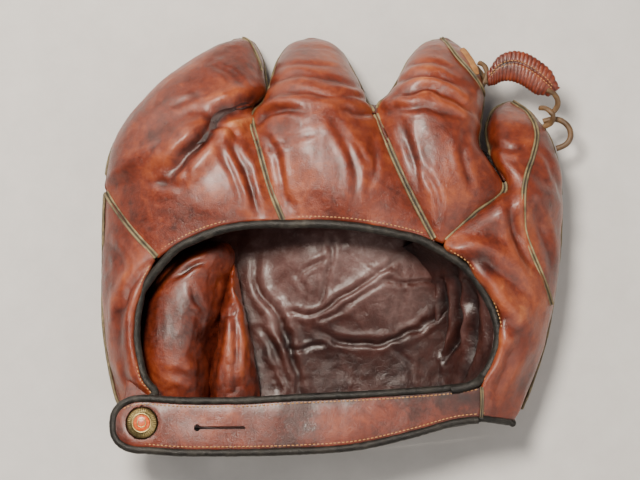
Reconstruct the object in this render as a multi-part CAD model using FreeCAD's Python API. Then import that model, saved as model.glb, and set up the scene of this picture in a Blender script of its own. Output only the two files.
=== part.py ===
"""Three-finger baseball fielder's glove, lying palm down with its back upwards.

Millimetres. +X runs from the outer finger to the thumb, +Y from the heel to the fingertips, +Z out of the back.
Every leather panel is a thin closed solid between an outer and an inner surface. A digit is a row of cross
sections: each section has a left and a right seam point, the height of the back's crown over the seam, and the
depth of the front under it. The three fingers and the thumb turn on flex lines at their roots.
"""

import FreeCAD
import Part
import math
import os

V = FreeCAD.Vector

# Driving dimensions
LEATHER = 2.2            # outer leather
LINING = 1.2             # lining leather
WELT_HALF = 0.65         # half the width of the strip sewn into a seam
SEAM_GAP = 0.95          # from a seam's middle to the edge of a panel
CORNER_GAP = 2.4         # the same for the thumb's panel, whose rows cross its seam at a slant
BINDING_RADIUS = 2.7     # rolled binding round the back opening
STRAP_BINDING_RADIUS = 2.3
LACE_RADIUS = 1.9
FINGER_PAD = 5.5         # felt in the front of a finger
BUTTON_RADIUS = 9.5
BUTTON_GAP = 0.5         # between the button and its hole
BUTTON_AT = (-121.0, -113.0)
STRAP_HINGE_X = 70.0
EXTEND_DEG = 8.5         # how far a digit's base face leans back, for bending it backwards
FLEX_GAP = 0.4           # between the hand and a digit at the flex line
SECTION = 2.4            # exponent of a digit's cross section: 2 is an ellipse, higher is fuller
DISH = 5.0               # the same for the flat-bottomed palm
CENTRE = (-3.3, 4.8)      # middle of the outline, which becomes the origin

# A section: left seam, right seam, crown, depth, bow (how far the middle of the row runs ahead of its ends)
OUTER = [
    ((-113, -11, 66), (-35, 11, 74), 6, 20, 7),
    ((-131, 9, 58), (-43, 31, 75), 12, 22, 3),
    ((-148, 33, 42), (-50, 56, 73), 20, 26, 0),
    ((-150, 45, 38), (-54, 79, 60), 27, 28, 0),
    ((-147, 64, 34), (-51, 92, 44), 32, 22, 0),
    ((-138, 83, 30), (-49, 103, 35), 32, 22, 0),
    ((-124, 102, 26), (-50, 115, 27), 30, 22, 0),
    ((-105, 120, 21), (-53, 126, 20), 25, 18, 0),
    ((-85, 134, 16), (-57, 136, 15), 17, 13, 0),
    ((-72, 142, 13), (-63, 142, 13), 2, 2, 1),
]
MIDDLE = [
    ((-35, 11, 74), (59, -1, 72), 5, 22, 4),
    ((-43, 31, 75), (45, 26, 74), 9, 26, 1),
    ((-50, 56, 73), (33, 53, 73), 13, 34, 0),
    ((-51, 80, 60), (23, 82, 60), 23, 38, 0),
    ((-48, 93, 46), (18, 93, 46), 32, 27, 0),
    ((-45, 107, 36), (14, 106, 36), 33, 25, 0),
    ((-43, 121, 28), (9, 120, 28), 29, 23, 0),
    ((-38, 132, 20), (3, 132, 20), 21, 17, 0),
    ((-23, 141, 14), (-9, 141, 14), 2, 2, 1),
]
INDEX = [
    ((59, -1, 72), (64, -3, 72), 1, 20, 0),
    ((45, 26, 74), (84, 15.5, 70), 8, 24, 0),
    ((33, 53, 73), (104, 34, 61), 14, 30, 0),
    ((24, 84, 60), (90, 60, 54), 24, 36, 0),
    ((33, 98, 46), (90, 78, 44), 32, 27, 0),
    ((40, 111, 37), (93, 95, 36), 33, 26, 0),
    ((46, 125, 28), (93, 111, 28), 29, 23, 0),
    ((54, 135, 20), (87, 127, 20), 20, 16, 0),
    ((66, 142, 14), (76, 140, 14), 2, 2, 1),
]
THUMB = [
    ((86, -87, 64), (117, -98, 40), 8, 24, 0),
    ((96, -75, 64), (128, -72, 37), 9, 24, 0),
    ((99.5, -57, 66), (134, -50, 36), 10, 24, 0),
    ((93, -36, 67), (139, -28, 36), 12, 24, 0),
    ((79, -16, 70), (142, -2, 36), 14, 24, 0),
    ((65, -3.5, 72), (143, 10, 35), 16, 24, 0),
    ((84, 15.5, 70), (144, 20, 34), 18, 26, 0),
    ((104, 34, 61), (144, 27, 34), 20, 24, 0),
    ((98, 56, 47), (144, 33, 33), 23, 21, 0),
    ((97, 64, 41), (143, 53, 31), 24, 23, 0),
    ((97, 77, 33), (137, 74, 26), 22, 21, 0),
    ((101, 89, 24), (128, 89, 19), 16, 16, 0),
    ((109, 97, 15), (119, 97, 15), 2, 2, 1),
]
HEEL_SIDE = [
    ((-148, 32, 42), (-114, -12, 65), 4.5, 0, 0),
    ((-151, -5, 35), (-124, -32, 62), 7, 0, 0),
    ((-151, -35, 34), (-128, -58, 60), 7, 0, 0),
    ((-147, -70, 34), (-123, -84, 59), 6, 0, 0),
    ((-139, -97, 34), (-116, -94, 58), 5, 0, 0),
]
# The front of the hand: the left and right seams, and the depth of the dish under them
PALM = [
    ((-136, -108, 33), (115, -104, 36.5), 0, 24, -14),
    ((-143, -90, 33), (122, -88, 35.5), 0, 34.8, -7),
    ((-150, -52, 33), (133, -54, 34.5), 0, 34.3, 2),
    ((-151, -10, 34), (141, -8, 34.5), 0, 34.8, 16),
    ((-151, 22, 36.5), (143, 14, 33.5), 0, 27, 34),
    ((-150, 42, 37), (144, 27, 32.5), 0, 15, 64),
]
HEEL_BULGE = [
    ((-102, -96, 21), (-86, -97, 21), 18, 0, 0),
    ((-116, -84, 21), (-77, -84, 21), 25, 0, 0),
    ((-119, -55, 21), (-74, -52, 21), 31, 0, 0),
    ((-109, -28, 21), (-70, -24, 21), 32, 0, 0),
    ((-90, -10, 21), (-73, -7, 21), 29, 0, 0),
]
# The wrist strap: x, top edge y, bottom edge y, height of its upper face
STRAP = [(-138, -111, -117, 66.5), (-136, -105, -123, 66.8), (-130, -100, -127, 67.2),
         (-118, -98, -129.5, 67.8), (-95, -100, -131, 69.5), (-60, -99.5, -131, 71.2),
         (-24, -97, -130, 72), (10, -96, -127.5, 71.8), (42, -94, -120.5, 70),
         (STRAP_HINGE_X - 1.2, -91, -112.5, 67)]
STRAP_ROOT = [(STRAP_HINGE_X + 1.2, -91.5, -112.5, 67), (86, -92, -110.5, 63), (97, -98, -111, 59),
              (106, -104, -112, 55)]
# The web: lower edge, upper edge of each section, from the index finger to the thumb
WEB = [((98, 101, 41), (97, 115, 45)), ((103, 106, 43), (105, 123, 48)), ((110, 107, 46), (114, 125, 50)),
       ((118, 104, 47), (124, 122, 50)), ((126, 99, 45), (135, 115, 48)), ((134, 96, 42), (144, 104, 44))]
LACE_LOOP = [(134, 84, 28), (140.2, 85.8, 29.5), (146.5, 84, 30.5), (151, 79.2, 31), (151.8, 72.6, 30.5),
             (148, 67.3, 29.5), (142.2, 66, 28.3)]
# Flex lines: the digit and the section that it turns at
FLEX = {"outer": (OUTER, 3), "middle": (MIDDLE, 3), "index": (INDEX, 3), "thumb": (THUMB, 8)}


class Through:
    """A smooth curve through the points, with parameter 0, 1, 2... at each."""

    def __init__(self, points):
        self.points = [V(*p) for p in points]

    def value(self, v):
        p = self.points
        i = min(max(int(v), 0), len(p) - 2)
        t = v - i
        slope_in = (p[i + 1] - p[i - 1]) * 0.5 if i > 0 else p[1] - p[0]
        slope_out = (p[i + 2] - p[i]) * 0.5 if i + 2 < len(p) else p[i + 1] - p[i]
        start = p[i] * (2 * t ** 3 - 3 * t ** 2 + 1) + slope_in * (t ** 3 - 2 * t ** 2 + t)
        return start + p[i + 1] * (3 * t ** 2 - 2 * t ** 3) + slope_out * (t ** 3 - t ** 2)


class Sections:
    """The rows of a digit or a panel, joined smoothly."""

    def __init__(self, rows):
        self.left = Through([r[0] for r in rows])
        self.right = Through([r[1] for r in rows])
        self.shape = Through([(r[2], r[3], r[4]) for r in rows])
        self.last = len(rows) - 1

    def frame(self, v):
        """Middle, half width vector, and (crown, depth, bow) at row v."""
        v = min(max(v, 0.0), float(self.last))
        left = self.left.value(v)
        right = self.right.value(v)
        return (left + right) * 0.5, (right - left) * 0.5, self.shape.value(v)

    def point(self, v, side, up, inset, edge=0.0, power=SECTION):
        """The skin at lateral place side (-1 to 1) in row v: the back if up is 1, the front if it is -1."""
        middle, half, (crown, depth, bow) = self.frame(v)
        flat = V(half.x, half.y, 0)
        width = flat.Length
        room = max(width - edge, 0.5)
        height = max((crown if up > 0 else depth) - inset, 0.2)
        rise = (1 - abs(side) ** power) ** (1 / power)
        ahead = V(-flat.y, flat.x, 0) * (bow * (1 - side * side) / max(width, 1e-6))
        place = middle + half * (side * room / width) + ahead
        return V(place.x, place.y, place.z + up * height * rise - (inset if height <= 0.2 else 0))


def smooth(grid):
    """A smooth surface that follows a grid of points, through its corners."""
    knots = []
    times = []
    degrees = []
    for count in (len(grid), len(grid[0])):
        degree = min(3, count - 1)
        spans = count - degree
        knots.append([float(i) for i in range(spans + 1)])
        times.append([degree + 1] + [1] * (spans - 1) + [degree + 1])
        degrees.append(degree)
    surface = Part.BSplineSurface()
    surface.buildFromPolesMultsKnots(grid, times[0], times[1], knots[0], knots[1], False, False, *degrees)
    return surface.toShape()


def sheet(outer, inner):
    """A closed solid between two grids of points with the same rows and columns."""
    faces = [smooth(outer), smooth(inner)]
    for a, b in zip(faces[0].Edges, faces[1].Edges):
        faces.append(Part.makeRuledSurface(a, b))
    shell = Part.makeShell(faces)
    shell.sewShape()
    solid = Part.makeSolid(shell)
    if solid.Volume < 0:
        solid = Part.makeSolid(shell.reversed())
    return solid


def spread(count, low=-1.0, high=1.0):
    """Places across a section, closer together near its edges."""
    middle = (low + high) / 2
    reach = (high - low) / 2
    return [middle - reach * math.cos(math.pi * i / (count - 1)) for i in range(count)]


def steps(low, high, count):
    return [low + (high - low) * i / (count - 1) for i in range(count)]


def meet(plane, low, high, place):
    """The row between low and high at which place(row) crosses a plane, given as (at, normal)."""
    at, normal = plane
    if (place(high) - at).dot(normal) < 0:
        return high
    for _ in range(40):
        middle = (low + high) / 2
        if (place(middle) - at).dot(normal) < 0:
            low = middle
        else:
            high = middle
    return high


def skin(rows, up, start, end, near, far, edge=0.0, inner_edge=None, tip=0.0, across=11, along=14):
    """A panel between insets near and far. start and end are rows, or planes that the panel stops at."""
    sections = Sections(rows)
    inner_edge = edge if inner_edge is None else inner_edge
    grids = []
    for inset, margin, back_off in ((near, edge, 0), (far, inner_edge, tip)):
        columns = []
        for s in spread(across):
            def place(v):
                return sections.point(v, s, up, inset, margin)
            first = start if isinstance(start, (int, float)) else meet(start, 0, sections.last, place)
            final = end - back_off if isinstance(end, (int, float)) else meet(end, 0, sections.last, place)
            columns.append([place(v) for v in steps(first, final, along)])
        grids.append([list(row) for row in zip(*columns)])
    return sheet(*grids)


def tube(points, radius, say=""):
    """A round cord along straight runs joined by tangent arcs, as large as the runs allow."""
    corners = [V(*p) for p in points]
    edges = []
    at = corners[0]
    for before, corner, after in zip(corners, corners[1:], corners[2:]):
        into = (corner - before).normalize()
        out = (after - corner).normalize()
        turn = into.getAngle(out)
        if turn < 0.01:
            continue
        back = 0.45 * min((corner - before).Length, (after - corner).Length)
        bend = back / math.tan(turn / 2)
        start = corner - into * back
        end = corner + out * back
        inward = (out - into).normalize()
        middle = corner + inward * (bend / math.cos(turn / 2) - bend)
        if say:
            print("%s: radius %.1f at a turn of %.0f degrees" % (say, bend, math.degrees(turn)))
        edges.append(Part.LineSegment(at, start).toShape())
        edges.append(Part.Arc(start, middle, end).toShape())
        at = end
    edges.append(Part.LineSegment(at, corners[-1]).toShape())
    wire = Part.Wire(edges)
    ring = Part.Wire([Part.makeCircle(radius, corners[0], corners[1] - corners[0])])
    solid = wire.makePipeShell([ring], True, False)
    full = math.pi * radius ** 2 * wire.Length
    if abs(solid.Volume / full - 1) > 0.02:
        print("PROBLEM tube volume", say, solid.Volume, full)
    return solid


def welt(rows, side, start, end, low=-2.4, high=1.1, along=9, out=0.0):
    """The strip sewn into the seam along one side of a row of sections. It stands a little proud."""
    sections = Sections(rows)
    grids = []
    for offset in (-WELT_HALF + out, WELT_HALF + out):
        grid = []
        for v in steps(start, end, along):
            middle, half, _ = sections.frame(v)
            flat = V(half.x, half.y, 0).normalize()
            place = middle + half * side + flat * offset
            grid.append([place + V(0, 0, z) for z in steps(low, high, 3)])
        grids.append(grid)
    return sheet(*grids)


def flex_line(name):
    """Where a digit turns: a point on the axis, its direction (curling is positive) and the way to the tip."""
    rows, row = FLEX[name]
    sections = Sections(rows)
    middle, half, _ = sections.frame(row)
    along = V(half.x, half.y, 0).normalize()
    lowest = min(sections.point(row, side, -1, 0).z for side in spread(21))
    return V(middle.x, middle.y, lowest - 0.6), along * -1, V(-along.y, along.x, 0)


def hand_limit(name):
    """The plane at which the hand stops."""
    at, axis, ahead = flex_line(name)
    return at - ahead * FLEX_GAP, ahead


def digit_start(name):
    """The plane at which a digit starts. It leans to the tip, so that the digit can bend backwards."""
    at, axis, ahead = flex_line(name)
    lean = math.radians(EXTEND_DEG)
    return at, ahead * math.cos(lean) - V(0, 0, 1) * math.sin(lean)


def make_digit(name, parts):
    """Back and front leather, felt pad and two-part lining of one digit."""
    rows, row = FLEX[name]
    last = len(rows) - 1
    start = digit_start(name)
    under = LEATHER + 0.35
    pad_far = under + FINGER_PAD
    over_pad = pad_far + 0.2
    parts[name + "_back"] = skin(rows, 1, start, last, 0, LEATHER, 0.3, LEATHER + 0.3, 0.2)
    parts[name + "_front"] = skin(rows, -1, start, last, 0, LEATHER, 0.3, LEATHER + 0.3, 0.2)
    parts[name + "_pad"] = skin(rows, -1, start, last - 1.0, under, pad_far, under + 5, under + 9, 0.2)
    parts[name + "_lining_back"] = skin(rows, 1, start, last - 1.0, under, under + LINING, under + 0.2,
                                        under + LINING + 0.2, 0.1)
    parts[name + "_lining_front"] = skin(rows, -1, start, last - 1.25, over_pad, over_pad + LINING,
                                         under + 9, under + 9 + LINING, 0.1)


def make_hand(parts):
    """Back panels up to the flex lines, the front leather, the felt and the lining of the hand."""
    for name, (rows, row) in FLEX.items():
        gap = CORNER_GAP if name == "thumb" else SEAM_GAP
        parts[name + "_back_panel"] = skin(rows, 1, 0, hand_limit(name), 0, LEATHER, gap, gap + LEATHER)
    parts["heel_side_panel"] = skin(HEEL_SIDE, 1, 0.07, 4, 0, LEATHER, SEAM_GAP, SEAM_GAP + LEATHER)

    palm = Sections(PALM)
    sides = [-1, -0.995, -0.975, -0.93, -0.84, -0.68, -0.5, -0.3, -0.1, 0.1, 0.3, 0.5, 0.68, 0.84, 0.93, 0.975,
             0.995, 1]

    def layer(height, inset, margin, reach, start, end):
        """Points over the inside of the dish up to the flex lines, raised by height(point)."""
        columns = []
        for s in sides:
            def place(v):
                p = palm.point(v, s * reach, -1, inset, margin, DISH)
                return p + V(0, 0, height(p))
            final = min(meet(hand_limit(name), 2.5, end, place) for name in FLEX)
            columns.append([place(v) for v in steps(start, final, 13)])
        return [list(row) for row in zip(*columns)]

    def none(p):
        return 0

    outer = layer(none, 0, 0.4, 1, 0, 5)
    inner = layer(none, LEATHER, 0.4 + LEATHER, 1, 0, 5)
    parts["palm_leather"] = sheet(outer, inner).common(Part.makeBox(600, 600, 200, V(-300, -300, 0)))

    def pad_height(p):
        """How far the top of the felt lies over the leather's outer face: the pocket is pushed up in the middle."""
        dome = 13 * math.exp(-((p.x - 15) / 75) ** 2 - ((p.y - 5) / 60) ** 2)
        return max(LEATHER + 7.5, 16 + dome - p.z)

    layers = {"palm_pad": (lambda p: LEATHER + 1, pad_height),
              "palm_lining": (lambda p: pad_height(p) + 0.3, lambda p: pad_height(p) + 0.3 + LINING)}
    for name, (low, high) in layers.items():
        parts[name] = sheet(layer(low, 0, 0.4, 0.84, 0.4, 4.97), layer(high, 0, 0.4, 0.84, 0.4, 4.97))


def make_heel_bulge(parts):
    """The felt roll at the outer heel under its own leather: a pillow on the lining."""
    bulge = Sections(HEEL_BULGE)
    sides = spread(9)
    rows = steps(0, 4, 9)
    outer = [[bulge.point(v, s, 1, 0) for s in sides] for v in rows]
    cover_low = [[bulge.point(v, s, 1, LINING, LINING) for s in sides] for v in rows]
    core_top = [[bulge.point(v, s, 1, LINING + 0.3, LINING + 0.3) for s in sides] for v in rows]
    core_low = [[V(p.x, p.y, 20.5) for p in row] for row in core_top]
    parts["heel_pad"] = sheet(core_top, core_low)
    parts["heel_pad_cover"] = sheet(outer, cover_low)


def make_welts(parts):
    """Strips in the seams of the back. Each runs from the opening to just short of the flex lines."""
    parts["welt_outer_middle"] = welt(OUTER, 1, 0.05, 2.75)
    parts["welt_middle_index"] = welt(MIDDLE, 1, 0.1, 2.75)
    parts["welt_index_thumb"] = welt(INDEX, 1, 0.2, 1.4)
    parts["welt_heel_side"] = welt(OUTER, -1, 0.05, 1.9)


def make_opening(parts):
    """The rolled binding round the back opening. It lies against the edges of the panels."""
    off = BINDING_RADIUS + 0.5
    centres = []

    def along(rows, side, places, turn):
        sections = Sections(rows)
        for v in places:
            a, b = (sections.point(w, side, 1, LEATHER / 2, SEAM_GAP) for w in (v - 0.05, v + 0.05))
            way = (b - a)
            way = V(way.x, way.y, 0).normalize()
            middle = (a + b) * 0.5
            centres.append(middle + V(-way.y, way.x, 0) * off * turn)

    def across(rows, places):
        sections = Sections(rows)
        for s in places:
            a, b = (sections.point(0, w, 1, LEATHER / 2, SEAM_GAP) for w in (s - 0.05, s + 0.05))
            way = (b - a)
            way = V(way.x, way.y, 0).normalize()
            centres.append((a + b) * 0.5 + V(way.y, -way.x, 0) * off)

    along(HEEL_SIDE, 1, (3.9, 3.3, 2.6, 2.0, 1.4, 0.8), 1)
    across(OUTER, (-0.8, -0.4, 0.0, 0.4, 0.8))
    across(MIDDLE, (-0.85, -0.5, -0.15, 0.2, 0.55, 0.9))
    along(THUMB, -1, (4.7, 4.1, 3.5, 2.9, 2.3, 1.7, 1.1, 0.5, 0.1), 1)
    parts["opening_binding"] = tube([(p.x, p.y, p.z) for p in centres], BINDING_RADIUS)


def strap_layer(rows, top, bottom, inset):
    """One layer of the strap, top and bottom below its upper face, inset from its edges."""
    table = Through([(r[1], r[2], r[3]) for r in rows])
    along = Through([(r[0], 0, 0) for r in rows])
    last = len(rows) - 1
    start = rows[0][0] - 1 if rows[0][1] - rows[0][2] < 10 else -1e3
    grids = []
    for drop in (top, bottom):
        grid = []
        for v in steps(0, last, 2 * last + 1):
            high, low, z = table.value(v)
            x = along.value(v).x
            x = max(x, start + inset + (x - start) * 0.8)
            margin = min(inset, (high - low) / 2 - 0.6)
            grid.append([V(x, y, z - drop) for y in steps(low + margin, high - margin, 5)])
        grids.append(grid)
    return sheet(*grids)


def buttonholes(z=60, height=20):
    """The hole that the button fills, and the spare keyhole beside it."""
    x, y = BUTTON_AT
    hole = Part.makeCylinder(BUTTON_RADIUS + BUTTON_GAP, height, V(x, y, z))
    spare_x = x + 34
    spare_y = y - 3
    eye = Part.makeCylinder(2.2, height, V(spare_x, spare_y, z))
    slit = Part.makeBox(31, 1.2, height, V(spare_x, spare_y - 0.6, z))
    return hole.fuse(eye).fuse(slit)


def strap_edge(rows, left_end):
    """Points of the binding round a strap: along its top edge, round its left end and back along the bottom."""
    lower = 1.2
    top = [(x, high, z - lower) for x, high, low, z in rows]
    bottom = [(x, low, z - lower) for x, high, low, z in rows]
    if not left_end:
        return bottom
    first = rows[0]
    nose = (first[0] - 1.2, (first[1] + first[2]) / 2, first[3] - lower)
    return top[::-1] + [nose] + bottom


def make_strap(parts):
    holes = buttonholes()
    inset = STRAP_BINDING_RADIUS + 0.5
    parts["strap_leather"] = strap_layer(STRAP, 0, 2.0, inset).cut(holes)
    parts["strap_lining"] = strap_layer(STRAP, 2.1, 3.4, inset).cut(holes)
    parts["strap_binding"] = tube(strap_edge(STRAP, True), STRAP_BINDING_RADIUS)
    parts["strap_root"] = strap_layer(STRAP_ROOT, 0, 3.4, inset)
    parts["strap_root_binding"] = tube(strap_edge(STRAP_ROOT, False), STRAP_BINDING_RADIUS)


def make_button(parts):
    """A domed button on a rivet through the heel tab."""
    x, y = BUTTON_AT
    tab = Part.makeBox(32, 25, 3.2, V(x - 15, y - 12.5, 58.8))
    tab = tab.makeFillet(9, [e for e in tab.Edges if abs(e.Vertexes[0].Z - e.Vertexes[1].Z) > 1])
    rivet_hole = Part.makeCylinder(2.1, 20, V(x, y, 50))
    parts["button_tab"] = tab.cut(rivet_hole)
    stem = Part.makeCylinder(2.0, 8.6, V(x, y, 57.2))
    foot = Part.makeCylinder(5.0, 1.2, V(x, y, 57.4))
    parts["button_rivet"] = stem.fuse(foot)
    head = Part.makeCylinder(BUTTON_RADIUS, 10, V(x, y, 64.4))
    dome = Part.makeSphere(26, V(x, y, 70.8 - 26))
    socket = Part.makeCylinder(2.15, 2, V(x, y, 64.0))
    parts["button_cap"] = head.common(dome).cut(socket)


def make_web(parts):
    """A flat leather tunnel between index finger and thumb, with the lace that runs through it."""
    lower = Through([s[0] for s in WEB])
    upper = Through([s[1] for s in WEB])
    last = len(WEB) - 1
    sides = steps(0, 1, 7)

    def face(height, margin):
        grid = []
        for v in steps(0, last, 11):
            a = lower.value(v)
            b = upper.value(v)
            across = (b - a).normalize()
            a = a + across * margin
            b = b - across * margin
            grid.append([a + (b - a) * s + V(0, 0, height * math.sin(math.pi * s)) for s in sides])
        return grid

    def lift(grid, z):
        return [[p + V(0, 0, z) for p in row] for row in grid]

    parts["web_upper"] = sheet(lift(face(3.4, 0), 4.4), lift(face(3.2, 0), 2.6))
    parts["web_lower"] = sheet(lift(face(-3.4, 0), -4.4), lift(face(-3.2, 0), -2.6))
    middles = [(lower.value(v) + upper.value(v)) * 0.5 for v in (0, 1, 2, 3, 4, 5)]
    parts["web_lace"] = tube([(p.x, p.y, p.z) for p in middles], LACE_RADIUS)


def make_laces(parts):
    """The loop of spare lace at the thumb and the flat lace that closes the tip of the index finger."""
    parts["lace_loop"] = tube(LACE_LOOP, LACE_RADIUS, "lace loop")
    index = Sections(INDEX)
    grids = [[[index.point(v, s, 1, -lift) for s in (0.66, 0.7, 0.74, 0.78)] for v in steps(5.4, 6.9, 7)]
             for lift in (2.0, 0.5)]
    parts["index_lace"] = sheet(*grids)


def main():
    parts = {}
    make_hand(parts)
    make_heel_bulge(parts)
    make_welts(parts)
    make_opening(parts)
    make_strap(parts)
    make_button(parts)
    make_web(parts)
    make_laces(parts)
    for name in FLEX:
        make_digit(name, parts)
    os.makedirs("parts", exist_ok=True)
    whole = Part.makeCompound(list(parts.values())).BoundBox
    print("outline middle %.1f %.1f, size %.1f %.1f %.1f, lowest %.2f" % (
        whole.Center.x, whole.Center.y, whole.XLength, whole.YLength, whole.ZLength, whole.ZMin))
    for name, shape in parts.items():
        shape.translate(V(-CENTRE[0], -CENTRE[1], 0))
        solids = shape.Solids
        if not shape.isValid() or not solids or min(s.Volume for s in solids) <= 0:
            print("PROBLEM", name, shape.isValid(), [round(s.Volume, 2) for s in solids])
        if len(solids) > 1:
            print(name, "holds", [round(s.Volume, 1) for s in solids])
        shape.exportStep("parts/%s.step" % name)
    for name in FLEX:
        at, axis, ahead = flex_line(name)
        print("flex %s at %.1f %.1f %.1f axis %.3f %.3f" % (
            name, at.x - CENTRE[0], at.y - CENTRE[1], at.z, axis.x, axis.y))


main()
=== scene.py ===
"""Leather split-finger fielder's glove, lying palm down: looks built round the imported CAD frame.

Shapes are worked out in the glove's own millimetres (x from the outer finger to the thumb, y from the heel to
the fingertips, z out of the back) and turned into metres about the CAD origin by metres().
"""
import math
import random

import bpy
import numpy as np
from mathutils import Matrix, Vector


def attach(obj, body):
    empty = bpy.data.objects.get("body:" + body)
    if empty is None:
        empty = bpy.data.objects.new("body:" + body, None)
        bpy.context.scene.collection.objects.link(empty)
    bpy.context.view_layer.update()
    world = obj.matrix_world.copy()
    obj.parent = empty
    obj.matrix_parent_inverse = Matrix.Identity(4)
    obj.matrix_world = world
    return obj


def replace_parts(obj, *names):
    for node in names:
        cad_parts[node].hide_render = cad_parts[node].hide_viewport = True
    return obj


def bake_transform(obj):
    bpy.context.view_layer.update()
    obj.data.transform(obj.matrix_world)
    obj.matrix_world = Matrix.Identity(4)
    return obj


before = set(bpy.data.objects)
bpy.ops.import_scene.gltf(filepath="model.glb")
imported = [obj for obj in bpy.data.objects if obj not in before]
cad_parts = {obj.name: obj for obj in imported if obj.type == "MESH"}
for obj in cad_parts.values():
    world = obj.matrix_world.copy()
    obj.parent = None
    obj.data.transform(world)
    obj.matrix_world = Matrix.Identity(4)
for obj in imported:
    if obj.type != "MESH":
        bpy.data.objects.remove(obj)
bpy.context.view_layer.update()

CENTRE = np.array([-3.3, 4.8, 0.0])      # the CAD origin in glove millimetres
FULLNESS = 2.4                           # exponent of a digit's cross section: 2 is an ellipse
DISH = 5                                 # the same for the flat-bottomed palm
LEATHER, LINING, STRAP_LEATHER = 2.0, 1.2, 2.6                      # thicknesses as seen
RIM_RADIUS, STRAP_RIM_RADIUS, HEEL_RIM_RADIUS = 2.75, 2.35, 2.1     # of the bindings
WELT_RADIUS = 0.95                       # of the cord in a digit's side seam
LACE_RADIUS = 1.9                        # of the thumb's loop
BUTTON_AT = (-121.0, -113.0)
HOLE_RADIUS = 10.0
REEDS, REED_DEPTH = 40, 0.5              # of the button's rim
SLIT = (34, 63)                          # ends of the keyhole's slit, in x from the button's middle
PLEATS = 19                              # in the web's length
# Sewing: length of a stitch, gap to the next, radius of the thread
RIM_SEWING, STRAP_SEWING, WEB_SEWING = (1.6, 0.9, 0.36), (1.7, 0.8, 0.36), (1.5, 0.8, 0.3)

# Sections: left seam, right seam, crown over the seam, depth under it, bow
OUTER = [
    ((-113, -11, 66), (-35, 11, 74), 6, 20, 7), ((-131, 9, 58), (-43, 31, 75), 12, 22, 3),
    ((-148, 33, 42), (-50, 56, 73), 20, 26, 0), ((-150, 45, 38), (-55.5, 79, 61), 27, 28, 0),
    ((-147, 64, 34), (-49, 92, 46), 30, 22, 0), ((-138, 83, 30), (-47, 103, 36), 32, 22, 0),
    ((-124, 102, 26), (-48, 115, 28), 30, 22, 0), ((-106, 119, 21), (-50, 126, 21), 26, 18, 0),
    ((-88, 132, 17), (-54, 136, 16), 20, 14, 0), ((-80, 137, 15), (-57, 140.5, 15), 13, 9, 0),
    ((-73, 140.5, 14), (-61, 142, 14), 6, 5, 1),
    ((-69, 142.8, 13.5), (-65, 143.2, 13.5), 0.4, 0.4, 0)]
MIDDLE = [
    ((-35, 11, 74), (59, -1, 72), 5, 22, 4), ((-43, 31, 75), (45, 26, 74), 9, 26, 1),
    ((-50, 56, 73), (33, 53, 73), 13, 34, 0), ((-55.5, 79.5, 61), (23, 82, 60), 23, 38, 0),
    ((-48, 93, 47), (18, 93, 47), 31, 27, 0), ((-44, 107, 37), (14, 106, 37), 31, 25, 0),
    ((-41, 121, 28), (8, 120, 28), 28, 22, 0), ((-37, 131, 21), (3, 131, 21), 21, 17, 0),
    ((-33, 137, 17), (-2, 137, 17), 15, 12, 0), ((-28, 140.5, 15), (-7, 140.5, 15), 9, 7, 0),
    ((-23, 142, 14), (-12, 142, 14), 5, 4.5, 1),
    ((-19, 143.4, 13.5), (-16, 143.4, 13.5), 0.4, 0.4, 0)]
INDEX = [
    ((59, -1, 72), (64, -3, 72), 1, 20, 0), ((45, 26, 74), (84, 15.5, 70), 8, 24, 0),
    ((33, 53, 73), (104, 34, 61), 14, 30, 0), ((24, 84, 60), (90, 60, 54), 24, 36, 0),
    ((33, 98, 46), (91, 78, 44), 31, 27, 0), ((40, 111, 37), (94, 95, 36), 31, 26, 0),
    ((46, 124, 28), (94, 111, 28), 28, 22, 0), ((53, 134, 21), (89, 125, 21), 21, 16, 0),
    ((58, 139, 17), (84, 133, 17), 14, 11, 0), ((63, 141.5, 15), (80, 138, 15), 8, 6, 0),
    ((67, 142.5, 14), (76, 141, 14), 5, 4.5, 1),
    ((70.5, 143.6, 13.5), (73, 143.2, 13.5), 0.4, 0.4, 0)]
THUMB = [
    ((86.5, -110, 63.5), (109, -112.5, 47), 3, 20, 0), ((87.2, -98, 64), (113.5, -106, 43), 5, 22, 0),
    ((88, -88, 64), (117, -98, 40), 7, 24, 0), ((96, -75, 64), (128, -72, 37), 10, 24, 0),
    ((99.5, -57, 66), (134, -50, 36), 11, 24, 0), ((93, -36, 67), (139, -28, 36), 13, 24, 0),
    ((79, -16, 70), (142, -2, 36), 15, 24, 0), ((65, -3.5, 72), (143, 10, 35), 16, 24, 0),
    ((84, 15.5, 70), (144, 20, 34), 18, 26, 0), ((104, 34, 61), (144, 27, 34), 20, 24, 0),
    ((98, 56, 47), (144, 33, 33), 23, 21, 0), ((97, 64, 41), (143, 53, 31), 24, 23, 0),
    ((96, 77, 33), (138, 74, 26), 22, 21, 0), ((99, 87, 26), (131, 86, 21), 17, 16, 0),
    ((103, 94, 19), (126, 93.5, 17), 11, 10, 0), ((109, 98, 16), (119, 98, 16), 5, 4.5, 1),
    ((113, 99.5, 15.5), (116, 99.5, 15.5), 0.4, 0.4, 0)]
HEEL_SIDE = [
    ((-148, 32, 42), (-114, -12, 65), 4.5, 0, 0), ((-151, -5, 35), (-124, -32, 62), 8, 0, 0),
    ((-151, -35, 34), (-128, -58, 60), 9, 0, 0), ((-147, -70, 34), (-123, -84, 59), 8, 0, 0),
    ((-139, -97, 34), (-116, -94, 58), 5, 0, 0)]
PALM = [
    ((-136, -108, 33), (115, -104, 36.5), 0, 24, -14), ((-143, -90, 33), (122, -88, 35.5), 0, 34.8, -7),
    ((-150, -52, 33), (133, -54, 34.5), 0, 34.3, 2), ((-151, -10, 34), (141, -8, 34.5), 0, 34.8, 16),
    ((-151, 22, 36.5), (143, 14, 33.5), 0, 27, 34), ((-150, 42, 37), (144, 27, 32.5), 0, 15, 66)]
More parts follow.
